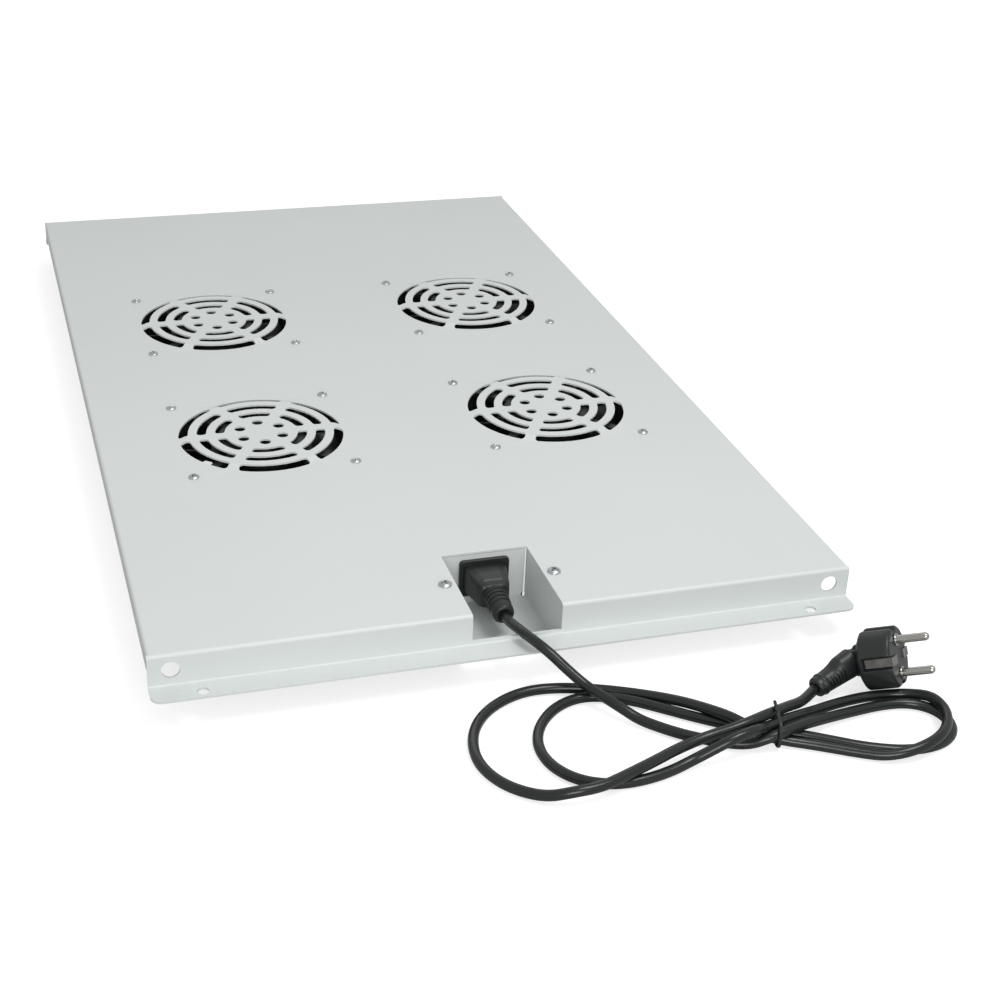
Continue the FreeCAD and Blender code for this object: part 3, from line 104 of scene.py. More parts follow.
def refine(node, material, body="tray", angle=30, round_mm=0.0):
    """A copy of a CAD node with its loose triangles joined and softly shaded, and its corners rounded a
    little. Large faces lead the shading, so a flat face stays flat up to its rounded edge."""
    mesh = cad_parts[node].data.copy()
    joined = bmesh.new()
    joined.from_mesh(mesh)
    bmesh.ops.remove_doubles(joined, verts=joined.verts, dist=WELD)
    joined.to_mesh(mesh)
    joined.free()
    mesh.name = node + "_mesh"
    smooth(mesh, angle)
    piece = bpy.data.objects.new(node + "_finished", mesh)
    bpy.context.scene.collection.objects.link(piece)
    if round_mm:
        edge = piece.modifiers.new("edge", "BEVEL")
        edge.width = round_mm / 1000
        edge.segments = 2
        edge.limit_method = "ANGLE"
        edge.angle_limit = np.radians(CORNER)
    level = piece.modifiers.new("flat_faces", "WEIGHTED_NORMAL")
    level.keep_sharp = True
    level.weight = 90
    return put(piece, body, material, (node,))


def powder_coat(name, main, shade, peel_mm=1.1, cloud_mm=140):
    """Polyester powder coat, sprayed and stoved: satin, with an orange peel of about a millimetre and a
    faint cloudiness over a hand's breadth."""
    material, tree, shader, place = start_finish(name)
    cloud = add_node(tree, "ShaderNodeTexNoise", {"Vector": place, "Scale": per_metre(cloud_mm),
                                                  "Detail": 3.0})
    tone = add_node(tree, "ShaderNodeMix", {"Factor": cloud.outputs["Fac"], "A": linear(main),
                                            "B": linear(shade)}, data_type="RGBA")
    tree.links.new(tone.outputs["Result"], shader.inputs["Base Color"])
    peel = add_node(tree, "ShaderNodeTexNoise", {"Vector": place, "Scale": per_metre(peel_mm),
                                                 "Detail": 2.0, "Roughness": 0.6})
    gloss = add_node(tree, "ShaderNodeMapRange", {"Value": peel.outputs["Fac"], "To Min": 0.34,
                                                  "To Max": 0.46})
    tree.links.new(gloss.outputs["Result"], shader.inputs["Roughness"])
    bump = add_node(tree, "ShaderNodeBump", {"Height": peel.outputs["Fac"], "Strength": 0.12,
                                             "Distance": 0.0001})
    tree.links.new(bump.outputs["Normal"], shader.inputs["Normal"])
    return material


PRESSED = 25  # Degrees: the shallow slope of a pressed grille shades softly, and a cut edge doesn't.
panel_coat = powder_coat("light_grey_powder_coat", "D9DEDC", "D3D8D6")
refine("tray_panel", panel_coat, angle=PRESSED)
pocket_coat = powder_coat("pocket_powder_coat", "D6DAD8", "D0D5D3")
refine("inlet_pocket", pocket_coat, angle=PRESSED)

# ---------------------------------------------------------------- screws and nuts
# Steel machine screws with pan heads and cross recesses, bright zinc plated: sixteen M4 hold the
# fans' flanges and two hold the pocket. The nuts are zinc plated too.


def grid_faces(rows, columns, start):
    """Quads that join a grid of points, row by row, whose columns close round a section. The point in row i
    and column j has the number start + i * columns + j."""
    i = np.arange(rows - 1)[:, None]
    j = np.arange(columns)[None, :]
    a, b = i * columns + j, i * columns + (j + 1) % columns
    return np.stack([a, b, b + columns, a + columns], -1).reshape(-1, 4) + start


MEET, SLIVER = 2e-6, 1e-6  # Metres: points this near are one, and edges this short are none.


def build(name, sheets, angle=30):
    """One piece from grids of points in millimetres, of shape (rows, columns, 3). Points that meet are
    merged, so that poles close, and faces are turned outwards."""
    points, faces, start = [], [], 0
    for sheet in sheets:
        rows, columns = sheet.shape[:2]
        points.append(sheet.reshape(-1, 3) / 1000)
        faces.append(grid_faces(rows, columns, start))
        start += rows * columns
    mesh = bpy.data.meshes.new(name + "_mesh")
    mesh.from_pydata(np.concatenate(points), [], np.concatenate(faces))
    closed = bmesh.new()
    closed.from_mesh(mesh)
    bmesh.ops.remove_doubles(closed, verts=closed.verts, dist=MEET)
    bmesh.ops.dissolve_degenerate(closed, edges=closed.edges, dist=SLIVER)
    bmesh.ops.recalc_face_normals(closed, faces=closed.faces)
    closed.to_mesh(mesh)
    closed.free()
    smooth(mesh, angle)
    piece = bpy.data.objects.new(name, mesh)
    bpy.context.scene.collection.objects.link(piece)
    return piece


def step(value, edge, soft):
    """0 below the edge and 1 above it, with a smooth rise over the soft width."""
    t = np.clip((value - edge) / soft + 0.5, 0, 1)
    return t * t * (3 - 2 * t)


def pan_screw(x, y, top, head, height, length, turn):
    """A turned skin. The head swells as height * (0.35 + 0.65 * (1 - (r / head) ^ 2.6)), its rim drops to
    the seat, and the shank runs down under it. Where |u| or |v| is under the recess's half width and both
    are within its reach, the head sinks, which makes the cross."""
    around = np.linspace(0, 2 * np.pi, 72, endpoint=False)
    under = [head, head, SHANK, SHANK, 0.8 * SHANK, 0]
    rings = np.concatenate([np.linspace(0, 0.98, DOME_RINGS) * head, under])
    r, a = np.meshgrid(rings, around, indexing="ij")
    u, v = r * np.cos(a - turn), r * np.sin(a - turn)
    dome = top + 0.35 * height + 0.65 * height * (1 - (r / head) ** 2.6)
    half, reach = 0.17 * head * (1 - 0.5 * r / head), 0.6 * head
    arm_u = (1 - step(np.abs(v), half, 0.22)) * (1 - step(np.abs(u), reach, 0.3))
    arm_v = (1 - step(np.abs(u), half, 0.22)) * (1 - step(np.abs(v), reach, 0.3))
    z = dome - 0.62 * height * np.maximum(arm_u, arm_v)
    end = top - length
    z[DOME_RINGS:] = np.array([top + 0.3 * height, top, top, end + 0.5, end, end])[:, None]
    return np.stack([x + r * np.cos(a), y + r * np.sin(a), z], -1)


# Zinc plate is bluish white, with a fine cloudy grain where the plating is thicker.
bright_zinc, tree, shader, place = start_finish("bright_zinc_plate", Metallic=1.0)
grain = add_node(tree, "ShaderNodeTexNoise", {"Vector": place, "Scale": per_metre(0.9), "Detail": 4.0})
tone = add_node(tree, "ShaderNodeMix", {"Factor": grain.outputs["Fac"], "A": linear("B2B6B9"),
                                        "B": linear("D8DADB")}, data_type="RGBA")
tree.links.new(tone.outputs["Result"], shader.inputs["Base Color"])
gloss = add_node(tree, "ShaderNodeMapRange", {"Value": grain.outputs["Fac"], "To Min": 0.26,
                                              "To Max": 0.38})
tree.links.new(gloss.outputs["Result"], shader.inputs["Roughness"])

SHANK = 2.0  # Radius of an M4 thread, in millimetres as every size here.
DOME_RINGS = 20
PANEL_TOP = 39.2
FAN_REACH, SCREW_REACH = 100, 52.5  # Half the fans' pitch, and half the pitch of one fan's screws.
FAN_HEAD = {"top": PANEL_TOP, "head": 3.4, "height": 2.1, "length": 10}
POCKET_HEAD = {"top": PANEL_TOP, "head": 4, "height": 2.4, "length": 7}
POCKET_SCREWS = ((-33, -316.5, 0.15), (33, -316.5, 0.8))

ends = (-1, 1)
fan_centres = [(x * FAN_REACH, y * FAN_REACH) for x in ends for y in ends]
spots = [(x + i * SCREW_REACH, y + j * SCREW_REACH) for x, y in fan_centres for i in ends for j in ends]
turns = np.random.default_rng(7).uniform(0, np.pi / 2, len(spots))
heads = [pan_screw(x, y, turn=turn, **FAN_HEAD) for (x, y), turn in zip(spots, turns)]
put(build("fan_screw_set", heads), "tray", bright_zinc, ("fan_screws",))
heads = [pan_screw(x, y, turn=turn, **POCKET_HEAD) for x, y, turn in POCKET_SCREWS]
put(build("pocket_screw_pair", heads), "tray", bright_zinc, ("pocket_screws",))
for name in ("fan_nuts", "pocket_nuts"):
    refine(name, bright_zinc, round_mm=0.25)

# ---------------------------------------------------------------- fans
# Four 120 mm mains fans. Each has a die-cast frame and motor spider painted black, a laminated
# steel core with copper coils, a black painted rotor cup and a moulded wheel of seven blades.


def grained(name, light, dark, rough, grain_mm, relief_mm, metallic=0.0):
    """A cast, moulded, plated or ground skin: two close tones, a roughness range and a relief, all from one
    grain, so that its hollows are darker and glossier."""
    material, tree, shader, place = start_finish(name, Metallic=metallic)
    grain = add_node(tree, "ShaderNodeTexNoise", {"Vector": place, "Scale": per_metre(grain_mm),
                                                  "Detail": 3.0})
    tone = add_node(tree, "ShaderNodeMix", {"Factor": grain.outputs["Fac"], "A": linear(dark),
                                            "B": linear(light)}, data_type="RGBA")
    tree.links.new(tone.outputs["Result"], shader.inputs["Base Color"])
    gloss = add_node(tree, "ShaderNodeMapRange", {"Value": grain.outputs["Fac"], "To Min": rough[0],
                                                  "To Max": rough[1]})
    tree.links.new(gloss.outputs["Result"], shader.inputs["Roughness"])
    bump = add_node(tree, "ShaderNodeBump", {"Height": grain.outputs["Fac"], "Strength": 0.3,
                                             "Distance": relief_mm / 1000})
    tree.links.new(bump.outputs["Normal"], shader.inputs["Normal"])
    return material


WAVE = 2 * np.pi / 20  # Units from one band of a wave texture to the next, at scale 1.


def layered(name, light, dark, rough, band_mm, along, metallic):
    """Sheets or wires that lie side by side: bands across one axis, with a groove between them."""
    material, tree, shader, place = start_finish(name, Metallic=metallic)
    bands = add_node(tree, "ShaderNodeTexWave", {"Vector": place, "Scale": per_metre(band_mm) * WAVE,
                                                 "Distortion": 0.4, "Detail": 1.0},
                     wave_type="BANDS", bands_direction=along, wave_profile="SIN")
    tone = add_node(tree, "ShaderNodeMix", {"Factor": bands.outputs["Fac"], "A": linear(dark),
                                            "B": linear(light)}, data_type="RGBA")
    tree.links.new(tone.outputs["Result"], shader.inputs["Base Color"])
    gloss = add_node(tree, "ShaderNodeMapRange", {"Value": bands.outputs["Fac"], "To Min": rough[1],
                                                  "To Max": rough[0]})
    tree.links.new(gloss.outputs["Result"], shader.inputs["Roughness"])
    bump = add_node(tree, "ShaderNodeBump", {"Height": bands.outputs["Fac"], "Strength": 0.5,
                                             "Distance": 0.0002})
    tree.links.new(bump.outputs["Normal"], shader.inputs["Normal"])
    return material


# Black stoving paint over a sand-textured casting: dull, with a grain a little under a millimetre.
cast_paint = grained("black_paint_on_casting", "1C1F20", "121414", (0.42, 0.6), 0.7, 0.06)
# Pressed silicon steel. Its sheets are half a millimetre, and the bands are drawn far coarser, so that
# they show.
core_steel = layered("laminated_core_steel", "8B8C8E", "4C4D50", (0.3, 0.5), 6.28, "Z", 1.0)
# Enamelled copper wire, wound in even layers. Its bands are coarser than the wire too.
copper_wire = layered("enamelled_copper_wire", "C8794A", "8A4826", (0.2, 0.4), 5.65, "Z", 1.0)
# Bearing steel, ground and polished: bright, with the faintest grain.
ground_steel = grained("ground_bearing_steel", "C9CACC", "AEB0B3", (0.15, 0.3), 1.5, 0.01, metallic=1.0)
# Black stoving paint over smooth pressed steel: satin, finer than on the casting.
cup_paint = grained("black_paint_on_pressed_steel", "1E2122", "151718", (0.3, 0.42), 1.2, 0.02)
# Glass-filled nylon, moulded: satin black.
wheel_plastic = grained("glass_filled_black_nylon", "1A1D1E", "111313", (0.34, 0.46), 0.9, 0.02)
# Unfilled nylon: milky white with a soft sheen.
white_nylon = grained("natural_white_nylon", "F1F1EC", "E6E6DF", (0.35, 0.45), 2.0, 0.01)

FANS = ("front_left", "front_right", "back_left", "back_right")
for side in FANS:
    refine(side + "_fan_frame", cast_paint)
    refine(side + "_motor_mount", cast_paint)
    refine(side + "_fan_terminals", white_nylon, round_mm=0.2)
    refine(side + "_motor_core", core_steel)
    refine(side + "_motor_coils", copper_wire, round_mm=0.5)
    rotor = side + "_rotor"
    refine(side + "_fan_shaft", ground_steel, rotor)
    refine(side + "_rotor_cup", cup_paint, rotor)
    refine(side + "_impeller", wheel_plastic, rotor)
refine("fan_bearings", ground_steel)

# ---------------------------------------------------------------- mains inlet and wiring
# A black moulded appliance inlet snapped into the pocket's back wall, nickel plated contacts, and
# PVC insulated leads to a terminal block and to the fans' tabs.

# Moulded polyamide: black and satin, from a lightly sparked mould.
black_moulding = grained("black_polyamide_moulding", "242727", "1A1D1D", (0.3, 0.44), 0.8, 0.02)
# Hot tinned brass: pale, and a little dull and uneven.
tinned_brass = grained("tinned_brass", "D2D0C8", "BDBBB2", (0.25, 0.4), 1.0, 0.01, metallic=1.0)
# Bright nickel over turned brass: warm grey and almost a mirror.
nickel = grained("nickel_plate", "C4C3BF", "AFAEAA", (0.1, 0.2), 2.5, 0.005, metallic=1.0)
# Extruded PVC insulation: black and smooth, duller than the cord's jacket.
lead_pvc = grained("black_pvc_insulation", "2B2E2E", "222525", (0.34, 0.44), 2.0, 0.01)

# Earth insulation is green, with a long yellow stripe. Diagonal bands are twice as far apart as others.
earth_pvc, tree, shader, place = start_finish("green_and_yellow_pvc", Roughness=0.38)
stripe = add_node(tree, "ShaderNodeTexWave", {"Vector": place, "Scale": per_metre(100.5) * WAVE,
                                              "Distortion": 0.6}, bands_direction="DIAGONAL")
edge = add_node(tree, "ShaderNodeMath", {0: stripe.outputs["Fac"], 1: 0.6}, operation="GREATER_THAN")
tone = add_node(tree, "ShaderNodeMix", {"Factor": edge.outputs["Value"], "A": linear("2F7A34"),
                                        "B": linear("D9C521")}, data_type="RGBA")
tree.links.new(tone.outputs["Result"], shader.inputs["Base Color"])

refine("inlet_housing", black_moulding, round_mm=0.35)
refine("inlet_contacts", nickel)
refine("inlet_lead", lead_pvc)
refine("earth_lead", earth_pvc)
refine("terminal_block", white_nylon, round_mm=0.5)
refine("terminal_screws", bright_zinc)
refine("fan_tabs", tinned_brass)
refine("fan_lead_plugs", black_moulding, round_mm=0.5)
for side in FANS:
    refine(side + "_fan_lead", lead_pvc)

# ---------------------------------------------------------------- cord connector
# The moulded PVC connector in the inlet: a block that tapers to a blunt face, a shallow raised
# plate on top for the thumb, and a ribbed boot that ends in a drum round the cord.

# Soft PVC moulding: black and satin, from an eroded mould, with dull patches where it is handled.
soft_pvc = grained("black_pvc_moulding", "262A2A", "1B1F1F", (0.3, 0.46), 0.7, 0.03)

# Distance forward of the tray's middle, with the half width, half height, level of the middle and
# squareness of the section there.
BLOCK_SHAPE = np.array([
    (286.7, 12.9, 8.7, 22.7, 9), (288, 12.9, 8.7, 22.7, 9), (305.5, 9.7, 8.0, 22.6, 7),
    (308, 8.9, 7.6, 22.5, 5), (308.9, 7.9, 6.8, 22.5, 4)])
# Where the sections stand, each with its share of the full size, which closes both ends.
BLOCK_RINGS = np.array([
    (286.7, 0), (286.7, 1), (286.9, 1), (288, 1), (290, 1), (290.6, 1), (292, 1), (294, 1), (296, 1),
    (298, 1), (300, 1), (302, 1), (303.4, 1), (304, 1), (305.5, 1), (307, 1), (308, 1), (308.6, 1),
    (308.9, 1), (308.9, 0.6), (308.9, 0)])
PLATE_RISE, PLATE_BACK, PLATE_FRONT, PLATE_SHARE = 0.5, 290.3, 303.7, 0.66

# Distance along the boot, with its radius: three ribs, a drum and a hollow round the cord.
BOOT_START, BOOT_END = np.array([0, -308.7, 22.5]), np.array([0, -327.8, 20.7])
BOOT_PROFILE = np.array([
    (-1, 0), (-1, 7.6), (0.6, 7.6), (1.0, 7.4),
    (1.4, 6.4), (2.4, 6.3), (2.8, 7.3), (4.2, 7.3),
    (4.6, 6.2), (5.6, 6.1), (6.0, 7.1), (7.4, 7.1),
    (7.8, 6.0), (8.8, 5.9), (9.2, 6.9), (10.6, 6.9),
    (11.0, 5.9), (12.0, 5.8), (12.5, 6.6), (16.8, 6.5), (18.1, 6.2), (18.9, 5.6),
    (19.2, 5.0), (19.2, 4.2), (18.6, 3.6), (18.0, 3.1), (18.0, 0)])


def connector_block():
    """A skin along the cord's axis. Each section is a rounded rectangle, |x / w| ^ n + |z / h| ^ n = 1, and
    w, h, n and its middle run straight from one station to the next. The top rises inside the plate."""
    along, scale = BLOCK_RINGS.T[..., None]
    w, h, middle, n = (np.interp(along, BLOCK_SHAPE[:, 0], column) for column in BLOCK_SHAPE[:, 1:].T)
    turn = np.linspace(0, 2 * np.pi, 96, endpoint=False)[None]
    c, s = np.cos(turn), np.sin(turn)
    reach = (np.abs(c) ** n + np.abs(s) ** n) ** (-1 / n) * scale
    x, z = w * c * reach, h * s * reach
    lengthwise = step(along, PLATE_BACK, 0.6) * (1 - step(along, PLATE_FRONT, 0.6))
    inside = (1 - step(np.abs(x), PLATE_SHARE * w, 0.5)) * lengthwise
    z = z + PLATE_RISE * inside * step(s, 0.6, 0.2)
    return np.stack([x, np.broadcast_to(-along, x.shape), z + middle], -1)


def ribbed_boot():
    """A turned skin: start + s * aim + r * (x cos a + up sin a), with r against s from the profile. The
    axis falls 1.8 mm on its way forward."""
    aim = (BOOT_END - BOOT_START) / np.linalg.norm(BOOT_END - BOOT_START)
    up = np.cross([1, 0, 0], aim)
    turn = np.linspace(0, 2 * np.pi, 72, endpoint=False)[:, None]
    ring = np.cos(turn) * np.array([1, 0, 0]) + np.sin(turn) * up
    s, r = BOOT_PROFILE.T[..., None, None]
    return BOOT_START + s * aim + r * ring


put(build("connector_grip", [connector_block(), ribbed_boot()]), "tray", soft_pvc,
    ("connector_housing",))

# ---------------------------------------------------------------- cord
# 1.46 m of round 6 mm PVC mains cord. It leaves the boot, drops over the lip, and is folded into a
# figure-of-eight hank of two turns each side, tied at the waist, before its tail runs to the plug.

# Extruded soft PVC: smooth and slightly greasy, with slow dull patches and a very fine grain.
cord_jacket, tree, shader, place = start_finish("black_pvc_cord_jacket")
dull = add_node(tree, "ShaderNodeTexNoise", {"Vector": place, "Scale": per_metre(22), "Detail": 2.0})
tone = add_node(tree, "ShaderNodeMix", {"Factor": dull.outputs["Fac"], "A": linear("171A1A"),
                                        "B": linear("222626")}, data_type="RGBA")
tree.links.new(tone.outputs["Result"], shader.inputs["Base Color"])
gloss = add_node(tree, "ShaderNodeMapRange", {"Value": dull.outputs["Fac"], "To Min": 0.2, "To Max": 0.3})
tree.links.new(gloss.outputs["Result"], shader.inputs["Roughness"])
fine = add_node(tree, "ShaderNodeTexNoise", {"Vector": place, "Scale": per_metre(0.6), "Detail": 2.0})
bump = add_node(tree, "ShaderNodeBump", {"Height": fine.outputs["Fac"], "Strength": 0.15,
                                         "Distance": 0.00003})
tree.links.new(bump.outputs["Normal"], shader.inputs["Normal"])

route = [
    # Out of the boot, over the notch and the lip, and down to the bench.
    (0, -327.8, 20.7), (-0.3, -336, 22), (0, -345, 24.8), (1, -353, 26.3), (3.4, -361, 26.6),
    (7, -369, 26), (12.8, -377, 22.5), (20.5, -385, 15.5), (28.5, -394, 9.8), (34.5, -404, 9.1),
    (41, -413.9, 7.3), (48.6, -421.9, 3.9), (57.1, -429.9, 3.1), (66, -438.5, 3.1), (75.9, -445.8, 3.1),
    # Through the waist to the inner turn on the right.
    (87.7, -452.8, 3.1), (98.3, -457.4, 3.8), (106.5, -460.5, 8.1), (116.4, -459.9, 10.5),
    (128.9, -454.5, 9.1), (152, -446.4, 5.1), (169.7, -442.5, 3.8), (187.4, -440, 3.1),
    (202.4, -441.8, 3.1), (211.9, -448.7, 3.1), (216.4, -458.9, 3.1), (215, -469.6, 3.1),
    (208, -478.2, 3.1), (195.8, -482.8, 3.1), (180.5, -482.4, 3.1), (168.2, -478.4, 3.1),
    (156.1, -472.5, 3.1), (143, -463.8, 3.1), (129.9, -455.5, 3.1), (118.2, -450, 3.1),
    # The inner turn on the left.
    (105.7, -444, 3.1), (92.6, -435.3, 3.1), (79.2, -425.2, 3.1), (65, -413.2, 3.1), (52, -402.6, 3.1),
    (38, -395, 3.1), (24, -392.5, 3.1), (10, -397.5, 3.1), (-1, -407, 3.1), (-9, -418.9, 3.1),
    (-13, -432.9, 3.1), (-11.5, -448, 3.1), (-4, -461, 3.1), (7, -469, 3.1), (21, -472.4, 3.1),
    (36.1, -471.4, 3.1), (50.1, -467.8, 3.1),
    # Over the waist to the outer turn on the right, which climbs over the inner one at its tip.
    (62, -464.4, 4.7), (71.9, -464.5, 9.1), (83.8, -465.4, 15.4), (97.7, -462.1, 16.4),
    (109.9, -454, 11), (121.9, -447.6, 9), (133.9, -442.5, 6.6), (147, -436.2, 3.1),
    (163.1, -432.5, 3.1), (180.2, -430.5, 3.1), (196.3, -431.6, 3.1), (208, -436.9, 5.1),
    (213.7, -446.9, 9), (214.8, -458.7, 9.2), (210.3, -470.7, 9.1), (202.2, -480.3, 9.2),
    (190.1, -486.3, 8.5), (177.1, -487.8, 6.4), (165.1, -484.6, 3.8), (154, -478, 3.1),
    (142.9, -471.3, 3.1), (131.6, -464.6, 3.1), (119.8, -459.2, 3.6), (107.6, -454.2, 5.7),
    # The outer turn on the left.
    (97, -440.2, 9.1), (86.7, -428.5, 9), (75.7, -413.8, 6.4), (61.5, -401.1, 4.1), (45.9, -391.6, 3.1),
    (29.1, -384.8, 3.1), (12.1, -380.2, 3.1), (-3.9, -379.9, 3.1), (-19, -385.5, 3.1), (-32, -395, 3.1),
    (-41.5, -408, 3.1), (-46.5, -423, 3.1), (-47.5, -438, 3.1), (-43, -453, 3.1), (-34, -464.9, 3.1),
    (-21.9, -474.3, 4.1), (-8.9, -479.7, 8.8), (5.2, -479.1, 8.9), (19.3, -474.1, 9.1),
    # On top of the waist and on to the plug.
    (42.3, -464.5, 9.1), (52.9, -459.7, 9.2), (67.7, -455, 9.8), (77, -453.7, 11), (89.8, -454.1, 13.7),
    (98.4, -452.9, 15), (109.7, -449.4, 15.4), (117.9, -445.9, 14.4), (129.4, -439.2, 11.4),
    (137, -435.6, 9.5), (145.5, -429.6, 8.2), (153.8, -422.2, 7.5),
]
points = np.ones((len(route), 4))  # The fourth number is each control point's weight.
points[:, :3] = np.array(route) / 1000
line = bpy.data.curves.new("mains_cord_line", "CURVE")
line.dimensions = "3D"
strand = line.splines.new("NURBS")
strand.points.add(len(route) - 1)
strand.points.foreach_set("co", points.ravel())
strand.order_u = 3
strand.use_endpoint_u = True
strand.resolution_u = 6
line.resolution_u = line.render_resolution_u = 6
line.bevel_depth = 0.003
line.bevel_resolution = 5
line.use_fill_caps = True
mains_cord = bpy.data.objects.new("mains_cord", line)
bpy.context.scene.collection.objects.link(mains_cord)
put(mains_cord, "tray", cord_jacket, ("cord_run", "cord_hank", "cord_tail"))

# ---------------------------------------------------------------- twist tie
# A soft iron wire in a black plastic jacket. It is passed twice round the waist of the hank by hand
# and its ends are twisted on themselves on top.

WAIST = np.array([115.6, -453, 9.4])
LOOP_HALF = (2.6, 10.7, 8.6)
TURN_PITCH = 1.4
TWIST_START, TWIST_RUN = np.array([115.9, -450, 18.9]), np.array([1.6, 6.4, 0.4])
TWIST_TURNS, TWIST_REACH = 3, 0.5


def tube(path, radius, sides=10):
    """A round tube along a path: each ring is the path's point plus radius * (side cos a + up sin a), with
    side at right angles to the path and to a steady reference."""
    along = np.gradient(path, axis=0)
    along /= np.linalg.norm(along, axis=1)[:, None]
    side = np.cross(along, [0.83, 0.1, 0.55])
    side /= np.linalg.norm(side, axis=1)[:, None]
    up = np.cross(side, along)
    a = np.linspace(0, 2 * np.pi, sides, endpoint=False)[None, :, None]
    body = path[:, None] + radius * (side[:, None] * np.cos(a) + up[:, None] * np.sin(a))
    ends = [np.repeat(path[i][None, None], sides, 1) for i in (0, -1)]
    return np.concatenate([ends[0], body, ends[1]])


def tie_loop():
    """Two turns of a rounded rectangle round the strands, (cos a ^ 0.65, sin a ^ 0.65) times its half
    sizes. It leans across the bundle, and its second turn lies a pitch beside the first."""
    a = np.linspace(-3.5 * np.pi, 0.5 * np.pi, 170)
    y = np.sign(np.cos(a)) * np.abs(np.cos(a)) ** 0.65
    z = np.sign(np.sin(a)) * np.abs(np.sin(a)) ** 0.65
    beside = np.linspace(-0.5, 0.5, len(a)) * TURN_PITCH
    return WAIST + np.stack([LOOP_HALF[0] * y + beside, LOOP_HALF[1] * y, LOOP_HALF[2] * z], -1)


def tie_twist(phase):
    """One of two strands that wind round each other: start + t * run, plus a circle across the run whose
    angle is 2 pi * turns * t + phase."""
    t = np.linspace(0, 1, 60)[:, None]
    wind = 2 * np.pi * TWIST_TURNS * t + phase
    circle = np.cos(wind) * [0.9, 0.37, 0] + np.sin(wind) * [0, 0, 1]
    return TWIST_START + t * TWIST_RUN + TWIST_REACH * circle


# Matt plastic film drawn over the wire.
tie_jacket = grained("black_tie_jacket", "2A2D2D", "202323", (0.4, 0.5), 1.0, 0.01)
strands = [tube(tie_loop(), 0.65), tube(tie_twist(0), 0.55), tube(tie_twist(np.pi), 0.55)]
tie = put(build("hank_tie", strands), "tray", tie_jacket, ("twist_tie",))

# ---------------------------------------------------------------- plug
# A moulded round plug with two 4.8 mm pins, flats with guide grooves at both ends of the pins' line,
# and an earth clip in a slot at each side. A kinked, ribbed boot with a thumb rest leads to the cord.

FACE = np.array([202.4, -425.1, 23.62])
YAW, PITCH, ROLL = np.radians([-40, 23, -16.5])
turned = Matrix.Rotation(YAW, 3, "Z") @ Matrix.Rotation(-PITCH, 3, "Y") @ Matrix.Rotation(ROLL, 3, "X")
lay = np.array(turned)
neck_end = FACE + lay @ np.array([-25.5, -3.5, 0])
back_end = np.array([153.8, -422.2, 7.5])

HEAD_RADIUS, FLAT, GROOVE, CLIP_SLOT = 17.8, 16.7, 2.0, 3.4
SLOT_BACK = -16.3
# Distance along the head, with the share of the outline's reach there: the face, its rounded rim, the
# side and the start of the shoulder. Then distance and radius: the shoulder, the neck and its collar.
SIDE_RINGS = np.array([
    (0, 0), (0, 0.25), (0, 0.5), (0, 0.75), (0, 0.915), (-0.35, 0.955), (-1.0, 0.985), (-1.6, 1), (-5, 1),
    (-9, 1), (-13, 1), (-16.2, 1), (-16.6, 1), (-17.6, 1), (-18.2, 0.985), (-18.7, 0.95)])
NECK_RINGS = np.array([
    (-19.6, 15.4), (-21.5, 11.6), (-23.2, 8.2), (-23.6, 8.6), (-23.9, 9.1), (-24.6, 9.1), (-25.2, 8.6),
    (-25.5, 8.0), (-25.5, 0)])

KNUCKLE, BOOT_END_RADIUS, HOLLOW = 7.7, 5.7, 1.2
RIB_PITCH, RIB_COUNT, RIB_DEPTH, THUMB_REST = 2.1, 6, 1.1, 3.2
# Distance back from the boot's end, with the radius: its rounded mouth and the hollow round the cord.
MOUTH = np.array([(0.6, 5.3), (0.1, 4.7), (0, 4.2), (0.4, 3.6), (HOLLOW, 3.05), (HOLLOW, 0)])


def plug_head():
    """A skin round the plug's axis, X, with its pins along Z. Its outline is the smaller of the turned
    radius and the flat's distance over |cos a|. A groove runs along the middle of each flat, and a slot
    takes each clip. The rings are shares of that outline, and then circles down to the neck."""
    corners = np.radians([0, 8.3, 9.3, 10.6, 14, 17, 19.5, 20.3, 22, 26])
    slot = np.radians([76, 77.6, 78.8, 82, 86])
    quarter = np.concatenate([corners, np.radians(np.linspace(30, 72, 12)), slot])
    half = np.concatenate([quarter, [np.pi / 2], np.pi - quarter[::-1][:-1]])
    a = np.concatenate([half, half + np.pi])
    c, s = np.maximum(np.abs(np.cos(a)), 1e-6), np.abs(np.sin(a))
    from_flat = np.degrees(np.arctan2(s, c))
    groove = GROOVE * (1 - step(from_flat, 9.6, 1.2))
    grooved = np.minimum(np.minimum(HEAD_RADIUS, FLAT / c), (FLAT - groove) / c)
    slotted = np.minimum(grooved, HEAD_RADIUS - CLIP_SLOT * step(from_flat, 78.0, 1.2))
    x, share = SIDE_RINGS.T[..., None]
    neck_x, radius = NECK_RINGS.T[..., None]
    r = np.concatenate([share * np.where(x >= SLOT_BACK, slotted, grooved), np.minimum(radius, grooved)])
    x = np.broadcast_to(np.concatenate([x, neck_x]), r.shape)
    return np.stack([x, r * np.sin(a), r * np.cos(a)], -1) @ lay.T + FACE


